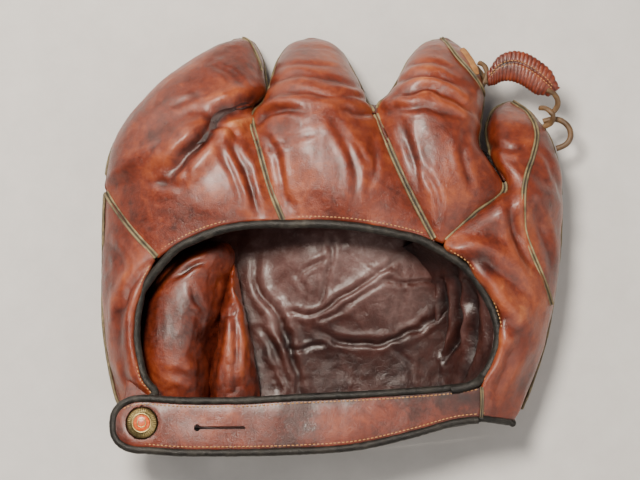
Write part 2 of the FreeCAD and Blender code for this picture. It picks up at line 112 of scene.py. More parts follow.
# The strap from its nose to the welt at its root: x, top edge, bottom edge, height
STRAP = [(-118, -98, -129.5, 67.8), (-95, -99.5, -131, 69.5), (-60, -99.5, -131, 71.2),
         (-24, -97.5, -130, 72), (10, -96, -127.5, 71.8), (42, -94, -120.5, 70), (70, -91.5, -112.8, 67),
         (87.5, -88.5, -110.8, 65.2)]
# The web from the index finger to the thumb: lower edge, upper edge
WEB = [((97, 102, 41), (96, 115, 44)), ((103, 106, 43), (104, 123, 48)), ((110, 107, 46), (114, 125.5, 50)),
       ((118, 104, 47), (124, 122.5, 50)), ((126, 99, 45), (135, 115, 48)), ((134, 96, 42), (145, 104, 44))]
# Route of the loose end of the thumb lace
LACE_LOOP = [(134, 84, 28), (140.2, 85.8, 29.5), (146.5, 84, 30.5), (151, 79.2, 31), (151.8, 72.6, 30.5),
             (148, 67.3, 29.5), (142.2, 66, 28.3)]
# Digits: sections, the row of the flex line, the CAD body
DIGITS = {"outer": (OUTER, 3, "outer_finger"), "middle": (MIDDLE, 3, "middle_finger"),
          "index": (INDEX, 3, "index_finger"), "thumb": (THUMB, 10, "thumb")}

# Folds in the skin: points (x, y), half width, depth of the valley, height of the ridges beside it
FOLDS = {
    "outer": [
        ([(-50, 92), (-60, 87), (-72, 81), (-88, 78)], 4.6, 6.2, 2.8),
        ([(-71, 81), (-82, 67), (-93, 53), (-109, 38)], 4.3, 6.0, 2.6),
        ([(-62, 62), (-69, 69), (-79, 73)], 2.2, 2.4, 1.0),
        ([(-120, 37), (-108, 36), (-97, 32)], 2.2, 1.1, 0.6),
        ([(-75, 114), (-68, 108), (-60, 98)], 2.2, 0.9, 0.6),
        ([(-82, 118), (-74, 110), (-66, 100)], 1.8, 0.5, 0.4),
        ([(-68, 62), (-60, 44), (-54, 27), (-50, 14)], 2.4, 1.6, 1.3),
        ([(-75, 58), (-66, 40), (-60, 20)], 2.0, 0.7, 0.7),
        ([(-86, 49), (-93, 42), (-98, 30)], 2.2, 0.8, 0.6),
        ([(-90, 92), (-98, 88), (-108, 86)], 2.2, 0.9, 0.7),
        ([(-112, 60), (-120, 52), (-130, 48)], 2.6, 0.8, 0.6)],
    "middle": [
        ([(-50, 99), (-42, 103), (-25, 106), (5, 100), (18, 101)], 2.2, 0.9, 0.6),
        ([(-50, 89), (-38, 92), (-25, 93), (-6, 89), (10, 91), (22, 88)], 2.4, 1.2, 0.8),
        ([(-54, 72), (-46, 79), (-34, 81), (-22, 79)], 2.6, 2.2, 1.0),
        ([(2, 82), (14, 80), (26, 83)], 2.2, 1.6, 0.8),
        ([(-44, 114), (-25, 115), (8, 112)], 1.8, 0.35, 0.25),
        ([(-6, 74), (4, 60), (10, 40), (8, 16)], 2.6, 0.9, 0.9),
        ([(2, 70), (13, 54), (18, 36)], 1.8, 0.5, 0.5),
        ([(20, 67), (23, 48), (16, 26)], 2.2, 0.8, 0.6),
        ([(-48, 66), (-41, 57), (-37, 38), (-30, 20)], 2.2, 1.0, 0.7),
        ([(-48, 55), (-33, 61), (-12, 65)], 1.8, 0.5, 0.4)],
    "index": [
        ([(36, 103), (48, 106), (62, 104), (82, 98)], 2.4, 1.5, 1.2),
        ([(34, 91), (46, 94), (58, 95), (72, 89), (88, 80)], 2.6, 2.2, 1.5),
        ([(30, 80), (44, 82), (58, 80), (84, 75)], 2.2, 1.2, 0.8),
        ([(39, 72), (44, 55), (48, 33)], 2.6, 1.0, 0.9),
        ([(78, 68), (77, 49), (81, 30)], 2.4, 0.9, 0.8),
        ([(44, 114), (58, 117), (72, 112)], 1.8, 0.8, 0.5),
        ([(50, 46), (60, 28), (62, 12)], 2.2, 0.6, 0.6)],
    "thumb": [
        ([(86, 62), (97, 47), (107, 33)], 2.4, 2.4, 0.8),
        ([(106, 33), (106, 17), (111, 1), (121, -17)], 2.8, 1.8, 1.6),
        ([(72, -12), (84, -14), (96, -18), (117, -35)], 4.5, 2.0, 1.8),
        ([(88, -32), (99, -48), (117, -62)], 4.0, 1.8, 1.4),
        ([(96, 66), (108, 59), (122, 60)], 2.2, 1.0, 0.7),
        ([(112, -62), (104, -76), (97, -92)], 3.2, 1.3, 1.0),
        ([(118, 30), (128, 8), (135, -16)], 3.0, 0.9, 0.9),
        ([(126, 60), (136, 48), (141, 30)], 2.4, 0.8, 0.7)],
    "heel": [
        ([(-114, -12), (-128, -27), (-136, -47), (-137, -70)], 3.0, 1.6, 1.2),
        ([(-134, -70), (-131, -86), (-124, -97)], 2.4, 1.0, 0.8),
        ([(-150, 4), (-140, -6), (-132, -20)], 2.4, 0.7, 0.6)],
    "lining": [
        ([(-7, 6), (-4.5, -6), (-7, -19), (-11, -37)], 1.6, 2.6, 1.7),
        ([(-28, -18), (-17, -12), (-8, -8)], 1.4, 1.6, 1.2),
        ([(-36, -41), (-18, -43), (-5, -37), (13, -25), (29, -15), (42, -5)], 1.6, 2.4, 1.7),
        ([(-21, -48), (-2, -42), (17, -29), (38, -18)], 1.4, 1.5, 1.3),
        ([(70, -33), (58, -47), (44, -55), (20, -61), (0, -58), (-17, -50)], 1.9, 2.8, 1.6),
        ([(-37, -63), (-21, -65), (-7, -60)], 1.4, 1.2, 1.0),
        ([(-55, -6), (-51, -27), (-41, -40), (-33, -60), (-28, -80), (-23, -98)], 2.4, 3.2, 3.0),
        ([(-50, -50), (-39, -68), (-33, -84), (-30, -98)], 1.8, 2.2, 2.2),
        ([(23, -20), (50, -23), (78, -20)], 1.5, 1.6, 1.1),
        ([(39, -8), (42, -29), (37, -50)], 1.3, 0.9, 0.8),
        ([(-2, -58), (6, -76), (4, -92)], 1.4, 0.7, 0.6),
        ([(-32, -10), (-22, -26), (-24, -40)], 1.3, 0.8, 0.7),
        ([(10, -3), (20, -12), (34, -20)], 1.3, 0.8, 0.7),
        ([(30, -60), (44, -72), (48, -90)], 1.6, 0.8, 0.7)],
    "thumb_lining": [
        ([(66, -22), (69, -38), (68, -54), (66, -68)], 1.9, 3.0, 2.6),
        ([(72, -18), (77, -34), (79, -49), (76, -61), (68, -73)], 1.9, 3.2, 2.8),
        ([(80, -24), (86, -40), (88, -56), (84, -72), (78, -84)], 2.0, 3.0, 2.8),
        ([(57, -58), (61, -68), (53, -78)], 1.5, 1.2, 1.0)],
}
# Where a panel's left and right sides are sewn flat to their neighbours: spans of rows
FLAT_SEAMS = [(OUTER, (0, 2.0), (0, 2.9)), (MIDDLE, (0, 2.9), (0, 2.9)), (INDEX, (0, 2.9), (0, 1.9)),
              (THUMB, (7.3, 8.9), None)]


# ---------------------------------------------------------------- curves, sections and noise

def metres(points):
    """Glove millimetres to metres about the CAD origin."""
    return (np.asarray(points, float) - CENTRE) / 1000.0


def hermite(p, at):
    """Values of a smooth curve with p[i] at parameter i."""
    i = np.clip(at.astype(int), 0, len(p) - 2)
    t = (at - i)[:, None]
    slope = np.gradient(p, axis=0)
    a, b, sa, sb = p[i], p[i + 1], slope[i], slope[i + 1]
    return (a * (2 * t ** 3 - 3 * t ** 2 + 1) + sa * (t ** 3 - 2 * t ** 2 + t)
            + b * (3 * t ** 2 - 2 * t ** 3) + sb * (t ** 3 - t ** 2))


def flow(points, count):
    """count places along a smooth curve through the points."""
    return hermite(np.asarray(points, float), np.linspace(0, len(points) - 1, count))


def flatness(rows, places, column):
    """1 where a side of a panel is sewn flat to its neighbour, falling to 0 past the ends of the seam."""
    for entry in FLAT_SEAMS:
        if entry[0] is rows and entry[column]:
            low, high = entry[column]
            t = np.clip((places - low) / 0.8 + 1, 0, 1) * np.clip((high - places) / 0.9 + 1, 0, 1)
            return t * t * (3 - 2 * t)
    return 0 * places


def skin(rows, up, sides, places, inset=0.0, edge=0.0, power=FULLNESS):
    """Points of a digit's skin, one row for each place along it: the back if up is 1, the front if -1."""
    places = np.asarray(places, float)
    left = hermite(np.array([r[0] for r in rows], float), places)
    right = hermite(np.array([r[1] for r in rows], float), places)
    crown, depth, bow = hermite(np.array([r[2:] for r in rows], float), places).T
    middle, half = (left + right) / 2, (right - left) / 2
    width = np.hypot(half[:, 0], half[:, 1])
    room = np.maximum(width - edge, 0.5) / width
    height = np.maximum((crown if up > 0 else depth) - inset, 0.2)
    s = np.asarray(sides, float)[None, :]
    rise = (1 - np.abs(s) ** power) ** (1 / power)
    if up > 0:
        flat = np.where(s < 0, flatness(rows, places, 1)[:, None], flatness(rows, places, 2)[:, None])
        rise = rise * (1 - flat) + np.cos(math.pi / 2 * s) ** 0.85 * flat
    ahead = np.stack([-half[:, 1], half[:, 0], 0 * width], 1) / width[:, None]
    points = middle[:, None] + half[:, None] * (s * room[:, None])[..., None]
    points = points + ahead[:, None] * (bow[:, None] * (1 - s ** 2))[..., None]
    points[..., 2] += up * height[:, None] * rise
    return points


def around(count, low=-1.0, high=1.0):
    """Places across a section, closer together near its edges."""
    return (low + high) / 2 - (high - low) / 2 * np.cos(np.linspace(0, math.pi, count))


def fuzz(points, size, seed=0):
    """Smooth noise from -1 to 1 whose lumps are about size millimetres across."""
    table = np.random.RandomState(seed).uniform(-1, 1, 4096)
    q = np.asarray(points, float) / size + 100.0
    cell = np.floor(q).astype(int)
    t = q - cell
    t = t * t * (3 - 2 * t)
    total = 0.0
    for corner in np.ndindex(2, 2, 2):
        key = (cell + corner) @ (73, 1777, 409)
        total = total + table[key % 4096] * np.where(corner, t, 1 - t).prod(-1)
    return total


def ripples(points, size, seed):
    """Creased noise: 1 along sharp ridges, falling to -1 between them."""
    return 1 - 2 * np.abs(fuzz(points, size, seed))


def facing(points):
    """Unit normals of a grid of points."""
    n = np.cross(np.gradient(points, axis=0), np.gradient(points, axis=1))
    return n / np.maximum(np.linalg.norm(n, axis=-1, keepdims=True), 1e-9)


def away(points, line):
    """Distance in plan from a line, and how far along it (0 to 1) the nearest place is."""
    xy = points[..., :2]
    best = np.full(xy.shape[:-1], 1e9)
    along = np.zeros(xy.shape[:-1])
    path = flow(line, 26)
    for i, (a, b) in enumerate(zip(path, path[1:])):
        d = b - a
        t = np.clip(((xy - a) @ d) / max(d @ d, 1e-9), 0, 1)
        gap = np.hypot(*np.moveaxis(xy - (a + t[..., None] * d), -1, 0))
        near = gap < best
        best = np.where(near, gap, best)
        along = np.where(near, (i + t) / (len(path) - 1), along)
    return best, along


def folded(points, folds, wobble=1.4, seed=3):
    """Height of the folds at each point: under 0 in a valley, over 0 on the ridges beside it."""
    height = np.zeros(points.shape[:-1])
    shift = np.stack([fuzz(points, 9, seed), fuzz(points, 9, seed + 1), 0 * height], -1)
    bent = points + shift * wobble
    for line, width, depth, ridge in folds:
        gap, along = away(bent, line)
        fade = np.sqrt(np.clip(np.sin(math.pi * np.clip(along, 0.02, 0.98)), 0, 1))
        valley = np.exp(-(gap / width) ** 2)
        beside = np.exp(-((gap - 2.1 * width) / (1.3 * width)) ** 2)
        height += fade * (ridge * beside - depth * valley)
    return height


def sculpt(points, up=1, folds=(), soft=0.8, fine=0.16, seed=1):
    """Pushes a grid of points along its normals by lumps, wrinkles and folds. Returns points and shade:
    painted shade in the folds' valleys, paler worn ridges beside them, and random tone.
    """
    normal = facing(points)
    if (normal[..., 2].mean() < 0) == (up > 0):
        normal = -normal
    crease = folded(points, folds, seed=seed + 11) if folds else np.zeros(points.shape[:-1])
    lumps = soft * (fuzz(points, 26, seed) + 0.35 * fuzz(points, 11, seed + 1))
    wrinkles = fine * (ripples(points * (1, 0.6, 1), 7, seed + 2) + 0.5 * fuzz(points, 2.6, seed + 4))
    # painted shade: darker in the fold valleys, down to a floor; paler worn ridges beside them; random tone
    shade = 0.5 + 0.09 * np.maximum(crease, -1.8) + 0.10 * fuzz(points, 34, seed + 5)
    return points + normal * (lumps + wrinkles + crease)[..., None], np.clip(shade, 0, 1)


# ---------------------------------------------------------------- materials

def new_material(name):
    material = bpy.data.materials.new(name)
    material.use_nodes = True
    material.node_tree.nodes.clear()
    return material, material.node_tree


def node(tree, kind, **values):
    made = tree.nodes.new(kind)
    for key, value in values.items():
        if key in made.inputs:
            made.inputs[key].default_value = value
        else:
            setattr(made, key, value)
    return made


def stored(tree, name, output):
    """A value kept at each point of the mesh: its place at rest in metres, or its shade."""
    return node(tree, "ShaderNodeAttribute", attribute_name=name).outputs[output]


def noise(tree, at, scale, detail, roughness=0.5, distortion=0.0):
    made = node(tree, "ShaderNodeTexNoise", Scale=scale, Detail=detail, Roughness=roughness,
                Distortion=distortion)
    tree.links.new(at, made.inputs["Vector"])
    return made


def cells(tree, at, scale, wide):
    """1 inside cells of leather grain, falling to 0 along the lines between them."""
    made = node(tree, "ShaderNodeTexVoronoi", feature="DISTANCE_TO_EDGE", Scale=scale)
    tree.links.new(at, made.inputs["Vector"])
    return remap(tree, made.outputs["Distance"], (0, wide), (0, 1))


def remap(tree, value, source, target):
    made = node(tree, "ShaderNodeMapRange")
    for key, number in zip(("From Min", "From Max", "To Min", "To Max"), (*source, *target)):
        made.inputs[key].default_value = number
    tree.links.new(value, made.inputs["Value"])
    return made.outputs["Result"]


def maths(tree, kind, a, b, clamp=False):
    made = node(tree, "ShaderNodeMath", operation=kind, use_clamp=clamp)
    for socket, value in zip(made.inputs, (a, b)):
        if isinstance(value, (int, float)):
            socket.default_value = value
        else:
            tree.links.new(value, socket)
    return made.outputs[0]


def swing(tree, texture, amount):
    """The texture as an amount added to or taken from a tone."""
    return maths(tree, "MULTIPLY", maths(tree, "SUBTRACT", texture.outputs["Fac"], 0.5), amount)


def ramp(tree, tone, stops):
    """Colours laid along a tone from 0 to 1: (position, colour) pairs."""
    made = node(tree, "ShaderNodeValToRGB")
    elements = made.color_ramp.elements
    for position, _ in stops[1:-1]:
        elements.new(position)
    for element, (position, colour) in zip(elements, stops):
        element.position = position
        element.color = (*colour, 1)
    tree.links.new(tone, made.inputs["Fac"])
    return made.outputs["Color"]


def bump(tree, height, strength, distance, under=None):
    made = node(tree, "ShaderNodeBump", Strength=strength, Distance=distance)
    tree.links.new(height, made.inputs["Height"])
    if under is not None:
        tree.links.new(under, made.inputs["Normal"])
    return made.outputs["Normal"]


def surface(tree, colour, roughness, normal):
    shader = node(tree, "ShaderNodeBsdfPrincipled")
    out = node(tree, "ShaderNodeOutputMaterial")
    for value, socket in ((colour, "Base Color"), (roughness, "Roughness"), (normal, "Normal")):
        tree.links.new(value, shader.inputs[socket])
    tree.links.new(shader.outputs[0], out.inputs["Surface"])
    return shader


def leather(name, colours, rough=(0.30, 0.50), coat=0.12, grain=1500.0, grain_depth=0.00010,
            crackle=0.00012, mottle=0.5, shine=0.5):
    """Leather: colours from dark (wear, and painted shade in the valleys) to light (ridges, and painted
    sheen), pores, hairline cracks, uneven gloss.
    """
    material, tree = new_material(name)
    at = stored(tree, "place", "Vector")
    clouds = noise(tree, at, 28.0, 6.0, 0.6)
    specks = noise(tree, at, 210.0, 5.0, 0.65)
    streaks = noise(tree, at, 75.0, 7.0, 0.7, 1.6)
    tone = maths(tree, "ADD", stored(tree, "shade", "Fac"), swing(tree, clouds, mottle * 1.5))
    mottling = maths(tree, "ADD", swing(tree, specks, mottle * 0.7), swing(tree, streaks, mottle * 0.9))
    stops = [(i / (len(colours) - 1), colour) for i, colour in enumerate(colours)]
    colour = ramp(tree, maths(tree, "ADD", tone, mottling, True), stops)
    bend = node(tree, "ShaderNodeVectorMath", operation="MULTIPLY_ADD")
    bend.inputs[1].default_value = (0.012, 0.012, 0.012)
    tree.links.new(noise(tree, at, 120.0, 4.0).outputs["Color"], bend.inputs[0])
    tree.links.new(at, bend.inputs[2])
    normal = bump(tree, streaks.outputs["Fac"], 0.5, 0.0006)
    normal = bump(tree, cells(tree, bend.outputs[0], 230.0, 0.09), 0.45, crackle, normal)
    normal = bump(tree, cells(tree, at, grain, 0.25), 0.55, grain_depth, normal)
    shader = surface(tree, colour, remap(tree, streaks.outputs["Fac"], (0.3, 0.7), rough), normal)
    shader.inputs["Coat Weight"].default_value = coat
    shader.inputs["Coat Roughness"].default_value = 0.28
    shader.inputs["Specular IOR Level"].default_value = shine
    return material


def plain(name, dark, light, rough, metal, scale, depth):
    """A material whose colour wanders between dark and light, with a fine bump: thread, metal, floor."""
    material, tree = new_material(name)
    wander = noise(tree, stored(tree, "place", "Vector"), scale, 6.0, 0.65).outputs["Fac"]
    roughness = remap(tree, wander, (0, 1), (rough * 0.75, min(rough * 1.35, 1.0)))
    colour = ramp(tree, wander, [(0.32, dark), (0.68, light)])
    shader = surface(tree, colour, roughness, bump(tree, wander, 0.6, depth))
    shader.inputs["Metallic"].default_value = metal
    return material


def unstored(source, name):
    """A copy of a leather for a curve, which stores no places: the object's own coordinates serve."""
    material = source.copy()
    material.name = name
    tree = material.node_tree
    coordinates = tree.nodes.new("ShaderNodeTexCoord")
    for link in list(tree.links):
        if link.from_node.type != "ATTRIBUTE":
            continue
        if link.from_node.attribute_name == "place":
            tree.links.new(coordinates.outputs["Object"], link.to_socket)
        else:
            socket = link.to_socket
            tree.links.remove(link)
            socket.default_value = 0.5
    return material


SKIN = leather("worn_cognac_leather", [(0.012, 0.0025, 0.0015), (0.050, 0.0075, 0.0035),
                                       (0.145, 0.0205, 0.006), (0.27, 0.056, 0.015), (0.46, 0.165, 0.055)],
               rough=(0.27, 0.46), coat=0.28, mottle=0.68)
FRONT = leather("palm_leather", [(0.014, 0.004, 0.003), (0.048, 0.010, 0.006), (0.10, 0.021, 0.010),
                                 (0.17, 0.044, 0.021), (0.28, 0.10, 0.05)], rough=(0.32, 0.55), coat=0.15)
# Lining leather: its pale mauve top colours show where the pocket's painted sheen lifts the tone
LINER = leather("dark_lining_leather", [(0.005, 0.003, 0.003), (0.020, 0.006, 0.005), (0.052, 0.015, 0.011),
                                        (0.125, 0.062, 0.056), (0.32, 0.24, 0.225)],
                rough=(0.27, 0.46), coat=0.22, grain=2300.0, grain_depth=0.00006, crackle=0.0002,
                mottle=0.45)
BLACK = leather("black_binding_leather", [(0.002, 0.002, 0.002), (0.006, 0.0055, 0.005),
                                          (0.014, 0.0125, 0.0105), (0.038, 0.034, 0.028),
                                          (0.10, 0.09, 0.072)],
                rough=(0.32, 0.52), coat=0.0, grain=1800.0, mottle=0.6, shine=0.32)
WELT = leather("welt_leather", [(0.016, 0.012, 0.007), (0.058, 0.042, 0.020), (0.13, 0.10, 0.05),
                                (0.27, 0.205, 0.10), (0.40, 0.32, 0.18)],
               rough=(0.42, 0.68), coat=0.0, mottle=0.7)
RAWHIDE = leather("rawhide_lace", [(0.012, 0.007, 0.004), (0.040, 0.022, 0.010), (0.095, 0.052, 0.022),
                                   (0.19, 0.105, 0.042), (0.34, 0.20, 0.085)],
                  rough=(0.4, 0.65), coat=0.05, mottle=0.6)
RAWHIDE_CURVE = unstored(RAWHIDE, "rawhide_lace_loop")
TAN_LACE = leather("tan_lace", [(0.040, 0.014, 0.005), (0.13, 0.048, 0.014), (0.27, 0.115, 0.032),
                                (0.40, 0.20, 0.065), (0.55, 0.33, 0.13)],
                   rough=(0.4, 0.65), coat=0.05, mottle=0.6)
# Dark, light, roughness, metal, scale of the mottling, depth of the bump
THREAD = plain("waxed_thread", (0.34, 0.15, 0.05), (0.62, 0.33, 0.13), 0.6, 0.0, 2400.0, 0.0002)
BRASS = plain("worn_brass", (0.22, 0.16, 0.06), (0.55, 0.43, 0.20), 0.38, 1.0, 900.0, 0.0001)
ENAMEL = plain("orange_enamel", (0.45, 0.055, 0.012), (0.72, 0.13, 0.03), 0.25, 0.0, 700.0, 0.00005)
PALE_FLOOR = plain("pale_floor", (0.60, 0.59, 0.575), (0.66, 0.65, 0.635), 0.75, 0.0, 40.0, 0.0001)


# ---------------------------------------------------------------- mesh building

def build(name, vertices, faces, materials, which=None, shade=None):
    """A smooth mesh from points in glove millimetres."""
    mesh = bpy.data.meshes.new(name)
    placed = metres(vertices)
    mesh.from_pydata(placed.tolist(), [], faces)
    mesh.attributes.new("place", "FLOAT_VECTOR", "POINT").data.foreach_set("vector", placed.ravel())
    tones = np.full(len(placed), 0.5) if shade is None else np.asarray(shade, float).ravel()
    mesh.attributes.new("shade", "FLOAT", "POINT").data.foreach_set("value", tones)
    for material in materials:
        mesh.materials.append(material)
    if which is not None:
        mesh.polygons.foreach_set("material_index", which)
    mesh.polygons.foreach_set("use_smooth", [True] * len(faces))
    mesh.update()
    made = bpy.data.objects.new(name, mesh)
    bpy.context.scene.collection.objects.link(made)
    return made


def quads(rows, columns, start=0, ring=False, flip=False):
    """Faces of a grid of points numbered row by row. ring joins the last column to the first."""
    faces = []
    for i in range(rows - 1):
        for j in range(columns if ring else columns - 1):
            a, b = start + i * columns + j, start + i * columns + (j + 1) % columns
            face = (a, b, b + columns, a + columns)
            faces.append(face[::-1] if flip else face)
    return faces


def edge_pairs(rows, columns):
    """Neighbouring points round the outside of a grid."""
    round_it = [*range(columns), *(i * columns + columns - 1 for i in range(1, rows)),
                *((rows - 1) * columns + j for j in range(columns - 2, -1, -1)),
                *(i * columns for i in range(rows - 2, 0, -1))]
    return zip(round_it, round_it[1:] + round_it[:1])


def shell(name, points, thickness, materials, shade, up=1):
    """A leather panel: a grid of points for its outer face, an inner face under it, and its edges."""
    rows, columns = points.shape[:2]
    count = rows * columns
    normal = facing(points)
    flip = (normal[..., 2].mean() < 0) == (up > 0)
    if flip:
        normal = -normal
    outer = quads(rows, columns, 0, flip=not flip)
    inner = quads(rows, columns, count, flip=flip)
    edges = [(a, b, b + count, a + count) for a, b in edge_pairs(rows, columns)]
    if flip:
        edges = [face[::-1] for face in edges]
    which = [0] * len(outer) + [len(materials) - 1] * len(inner) + [0] * len(edges)
    vertices = np.concatenate([points.reshape(-1, 3), (points - normal * thickness).reshape(-1, 3)])
    tones = np.concatenate([np.ravel(shade), np.ravel(shade) - 0.12])
    return build(name, vertices, outer + inner + edges, materials, which, tones)


def frames(path):
    """Unit tangent, sideways and upward vectors along a path. Upward stays near +z."""
    tangent = np.gradient(path, axis=0)
    tangent /= np.linalg.norm(tangent, axis=1, keepdims=True)
    side = np.cross(tangent, (0, 0, 1.0))
    side /= np.maximum(np.linalg.norm(side, axis=1, keepdims=True), 1e-6)
    return tangent, side, np.cross(side, tangent)


def rope(name, points, radius, material, flat, count, wrinkle, ring_count=16):
    """A round or flattened strand along a smooth path, closed at its ends."""
    path = flow(points, count)
    _, side, up = frames(path)
    turn = np.linspace(0, 2 * math.pi, ring_count, endpoint=False)
    size = np.full((count, 1, 1), float(radius))
    size[[0, -1]] *= 0.55
    ring = (side[:, None] * np.cos(turn)[None, :, None] * size
            + up[:, None] * np.sin(turn)[None, :, None] * size * flat)
    strand = path[:, None] + ring
    bumps = fuzz(strand, 2.2, 5) + 0.6 * fuzz(strand, 5.5, 6)
    strand = strand + ring / radius * (bumps * wrinkle)[..., None]
    faces = quads(count, ring_count, ring=True)
    last = (count - 1) * ring_count
    faces += [tuple(range(ring_count))[::-1], tuple(range(last, last + ring_count))]
    return build(name, strand.reshape(-1, 3), [f[::-1] for f in faces], [material], None, 0.5 + 0.14 * bumps)


def stitches(name, path, body, sewing):
    """A row of sewing: one short sunken strand for each stitch along a dense path."""
    length, gap, radius = sewing
    path = np.asarray(path, float)
    run = np.concatenate([[0], np.cumsum(np.linalg.norm(np.diff(path, axis=0), axis=1))])
    rng = random.Random(2)
    vertices, faces = [], []
    at = gap
    while at + length < run[-1]:
        ends = np.array([[np.interp(at + t * length, run, path[:, k]) for k in range(3)]
                         for t in (0, 0.2, 0.5, 0.8, 1)])
        _, side, up = frames(ends)
        faces += quads(5, 6, len(vertices), ring=True, flip=True)
        for k, lift in enumerate((-0.25, 0.16, 0.26, 0.16, -0.25)):
            size = radius * (0.45 if k in (0, 4) else 1)
            for a in np.arange(6) * math.pi / 3:
                vertices.append(ends[k] + side[k] * math.cos(a) * size
                                + up[k] * (math.sin(a) * size * 0.8 + lift))
        at += (length + gap) * rng.uniform(0.93, 1.07)
    row = build(name, np.array(vertices), faces, [THREAD])
    return bend_strap(row) if body == "strap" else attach(row, body)


def finish(piece, slot, *nodes):
    """Hides the CAD nodes that the piece stands for. slot, the name of its finish, is not used."""
    if nodes:
        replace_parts(piece, *nodes)
    return piece


# ---------------------------------------------------------------- baked transforms

def bend_strap(piece):
    """Bakes the piece's transform into its mesh."""
    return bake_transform(piece)


def bend_with(piece):
    """Bakes the piece's transform into its mesh."""
    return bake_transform(piece)


# ---------------------------------------------------------------- camera, floor and light

def make_stage():
    """Camera over the glove's back, a pale floor, three soft lamps and a pale sky."""
    elevation, distance = math.radians(82), 1.0
    data = bpy.data.cameras.new("camera")
    data.lens, data.sensor_width = 87.9, 36
    camera = bpy.data.objects.new("camera", data)
    offset = np.array([0, -math.cos(elevation), math.sin(elevation)]) * distance
    camera.location = metres((-12, 4, 40)) + offset
    camera.rotation_euler = (math.pi / 2 - elevation, 0, 0)
    bpy.context.scene.collection.objects.link(camera)
    bpy.context.scene.camera = camera
    corners = [(-3000, -3000, -0.2), (3000, -3000, -0.2), (3000, 3000, -0.2), (-3000, 3000, -0.2)]
    build("floor", np.array(corners, float), [(0, 1, 2, 3)], [PALE_FLOOR])
    make_lamp("key", (-0.26, 0.24, 1.05), 0.30, 20.0)
    make_lamp("fill", (0.9, -0.5, 0.9), 1.2, 8.0)
    make_lamp("rim", (-0.8, 0.9, 0.6), 0.8, 6.0)
    world = bpy.data.worlds.new("studio")
    world.use_nodes = True
    background = world.node_tree.nodes["Background"]
    background.inputs["Color"].default_value = (0.97, 0.97, 1.0, 1)
    background.inputs["Strength"].default_value = 0.21
    bpy.context.scene.world = world


def make_lamp(name, place, size, power):
    """A warm disc of light turned to the middle of the glove."""
    light = bpy.data.lights.new(name, "AREA")
    light.shape, light.size, light.energy = "DISK", size, power
    light.color = (1.0, 0.91, 0.80)
    lamp = bpy.data.objects.new(name, light)
    lamp.location = place
    direction = Vector((0, 0, 0.03)) - Vector(place)
    lamp.rotation_euler = direction.to_track_quat("-Z", "Y").to_euler()
    bpy.context.scene.collection.objects.link(lamp)


# ---------------------------------------------------------------- digits

def make_digits():
    """Each digit: its back, its front, the lining of its stall and the welt round its sides."""
    for name, (rows, row, _) in DIGITS.items():
        make_back_skin(name, rows, row)
        make_front_skin(name, rows, row)
        make_stall_lining(name, rows, row)
        make_side_welt(name, rows, row)


def make_back_skin(name, rows, row):
    """The back of a digit and its panel on the hand in one, worn paler along the seams."""
    last = len(rows) - 1
    places = np.concatenate([np.linspace(0, last - 3, 110, endpoint=False), np.linspace(last - 3, last, 50)])
    sides = around(96)
    back, shade = sculpt(skin(rows, 1, sides, places, edge=0.3), 1, FOLDS[name], soft=0.9, seed=10 + row)
    shade = shade + 0.13 * np.exp((np.abs(sides) - 1) / 0.05)
    piece = shell(name + "_back_skin", back, LEATHER, [SKIN, LINER], shade)
    bend_with(piece)
    finish(piece, "cognac_leather", name + "_back_panel", name + "_back")


def make_front_skin(name, rows, row):
    """The front of a digit. Its first rows are tucked up behind the palm's leather."""
    last = len(rows) - 1
    places = np.concatenate([np.linspace(row - 0.75, last - 3, 60, endpoint=False),
                             np.linspace(last - 3, last, 50)])
    front = skin(rows, -1, around(80), places, edge=0.3)
    front[..., 2] += 1.5 * np.clip((row - 0.1 - places) / 0.4, 0, 1)[:, None]
    front, shade = sculpt(front, -1, (), soft=0.9, fine=0.22, seed=40 + row)
    piece = shell(name + "_front_skin", front, LEATHER, [FRONT, LINER], shade, up=-1)
    bend_with(piece)
    finish(piece, "palm_leather", name + "_front")


def make_stall_lining(name, rows, row):
    """The lining of a digit: a tube open to the hand and closed at the tip."""
    places = np.linspace(row - 0.4, len(rows) - 3.6, 50)
    over = skin(rows, 1, np.linspace(-1, 1, 40), places, inset=3.8, edge=4.2)
    under = skin(rows, -1, np.linspace(1, -1, 40), places, inset=9.4, edge=4.2)
    tube = np.concatenate([over, under], axis=1)
    tube += facing(tube) * (0.7 * fuzz(tube, 9, 60 + row))[..., None]
    length, girth = tube.shape[:2]
    faces = quads(length, girth, ring=True)
    faces.append(tuple(range((length - 1) * girth, length * girth)))
    shade = np.full((length, girth), 0.3)
    piece = build(name + "_stall_lining", tube.reshape(-1, 3), faces, [LINER], None, shade)
    bend_with(piece)
    finish(piece, "dark_lining_leather", name + "_lining_back", name + "_lining_front", name + "_pad")


def make_side_welt(name, rows, row):
    """The thin welt between back and front, up one side of a digit and down the other."""
    places = np.linspace(row + 0.1, len(rows) - 1, 30)
    seam = np.concatenate([skin(rows, 1, [-1], places, edge=-0.2)[:, 0],
                           skin(rows, 1, [1], places[::-1], edge=-0.2)[:, 0]])
    piece = rope(name + "_side_welt", seam, WELT_RADIUS, WELT, 1.0, 240, 0.12, 8)
    bend_with(piece)


# ---------------------------------------------------------------- hand

def make_palm():
    """The front leather: a shallow dish that lies flat on its middle."""
    points = skin(PALM, -1, around(130), np.linspace(0, 4.93, 130), edge=0.4, power=DISH)
    points, shade = sculpt(points, -1, (), soft=0.5, fine=0.25, seed=80)
    points[..., 2] = np.maximum(points[..., 2], 0.02)
    piece = shell("palm_skin", points, LEATHER, [FRONT, LINER], shade, up=-1)
    finish(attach(piece, "hand"), "palm_leather", "palm_leather")
    for name, side in (("outer", -1), ("thumb", 1)):
        edge = skin(PALM, -1, [side], np.linspace(0.02, 4.6, 60), edge=-0.3, power=DISH)[:, 0]
        piece = rope(name + "_edge_welt", edge + (0, 0, 0.7), 1.0, WELT, 1.0, 200, 0.12, 8)
        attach(piece, "hand")


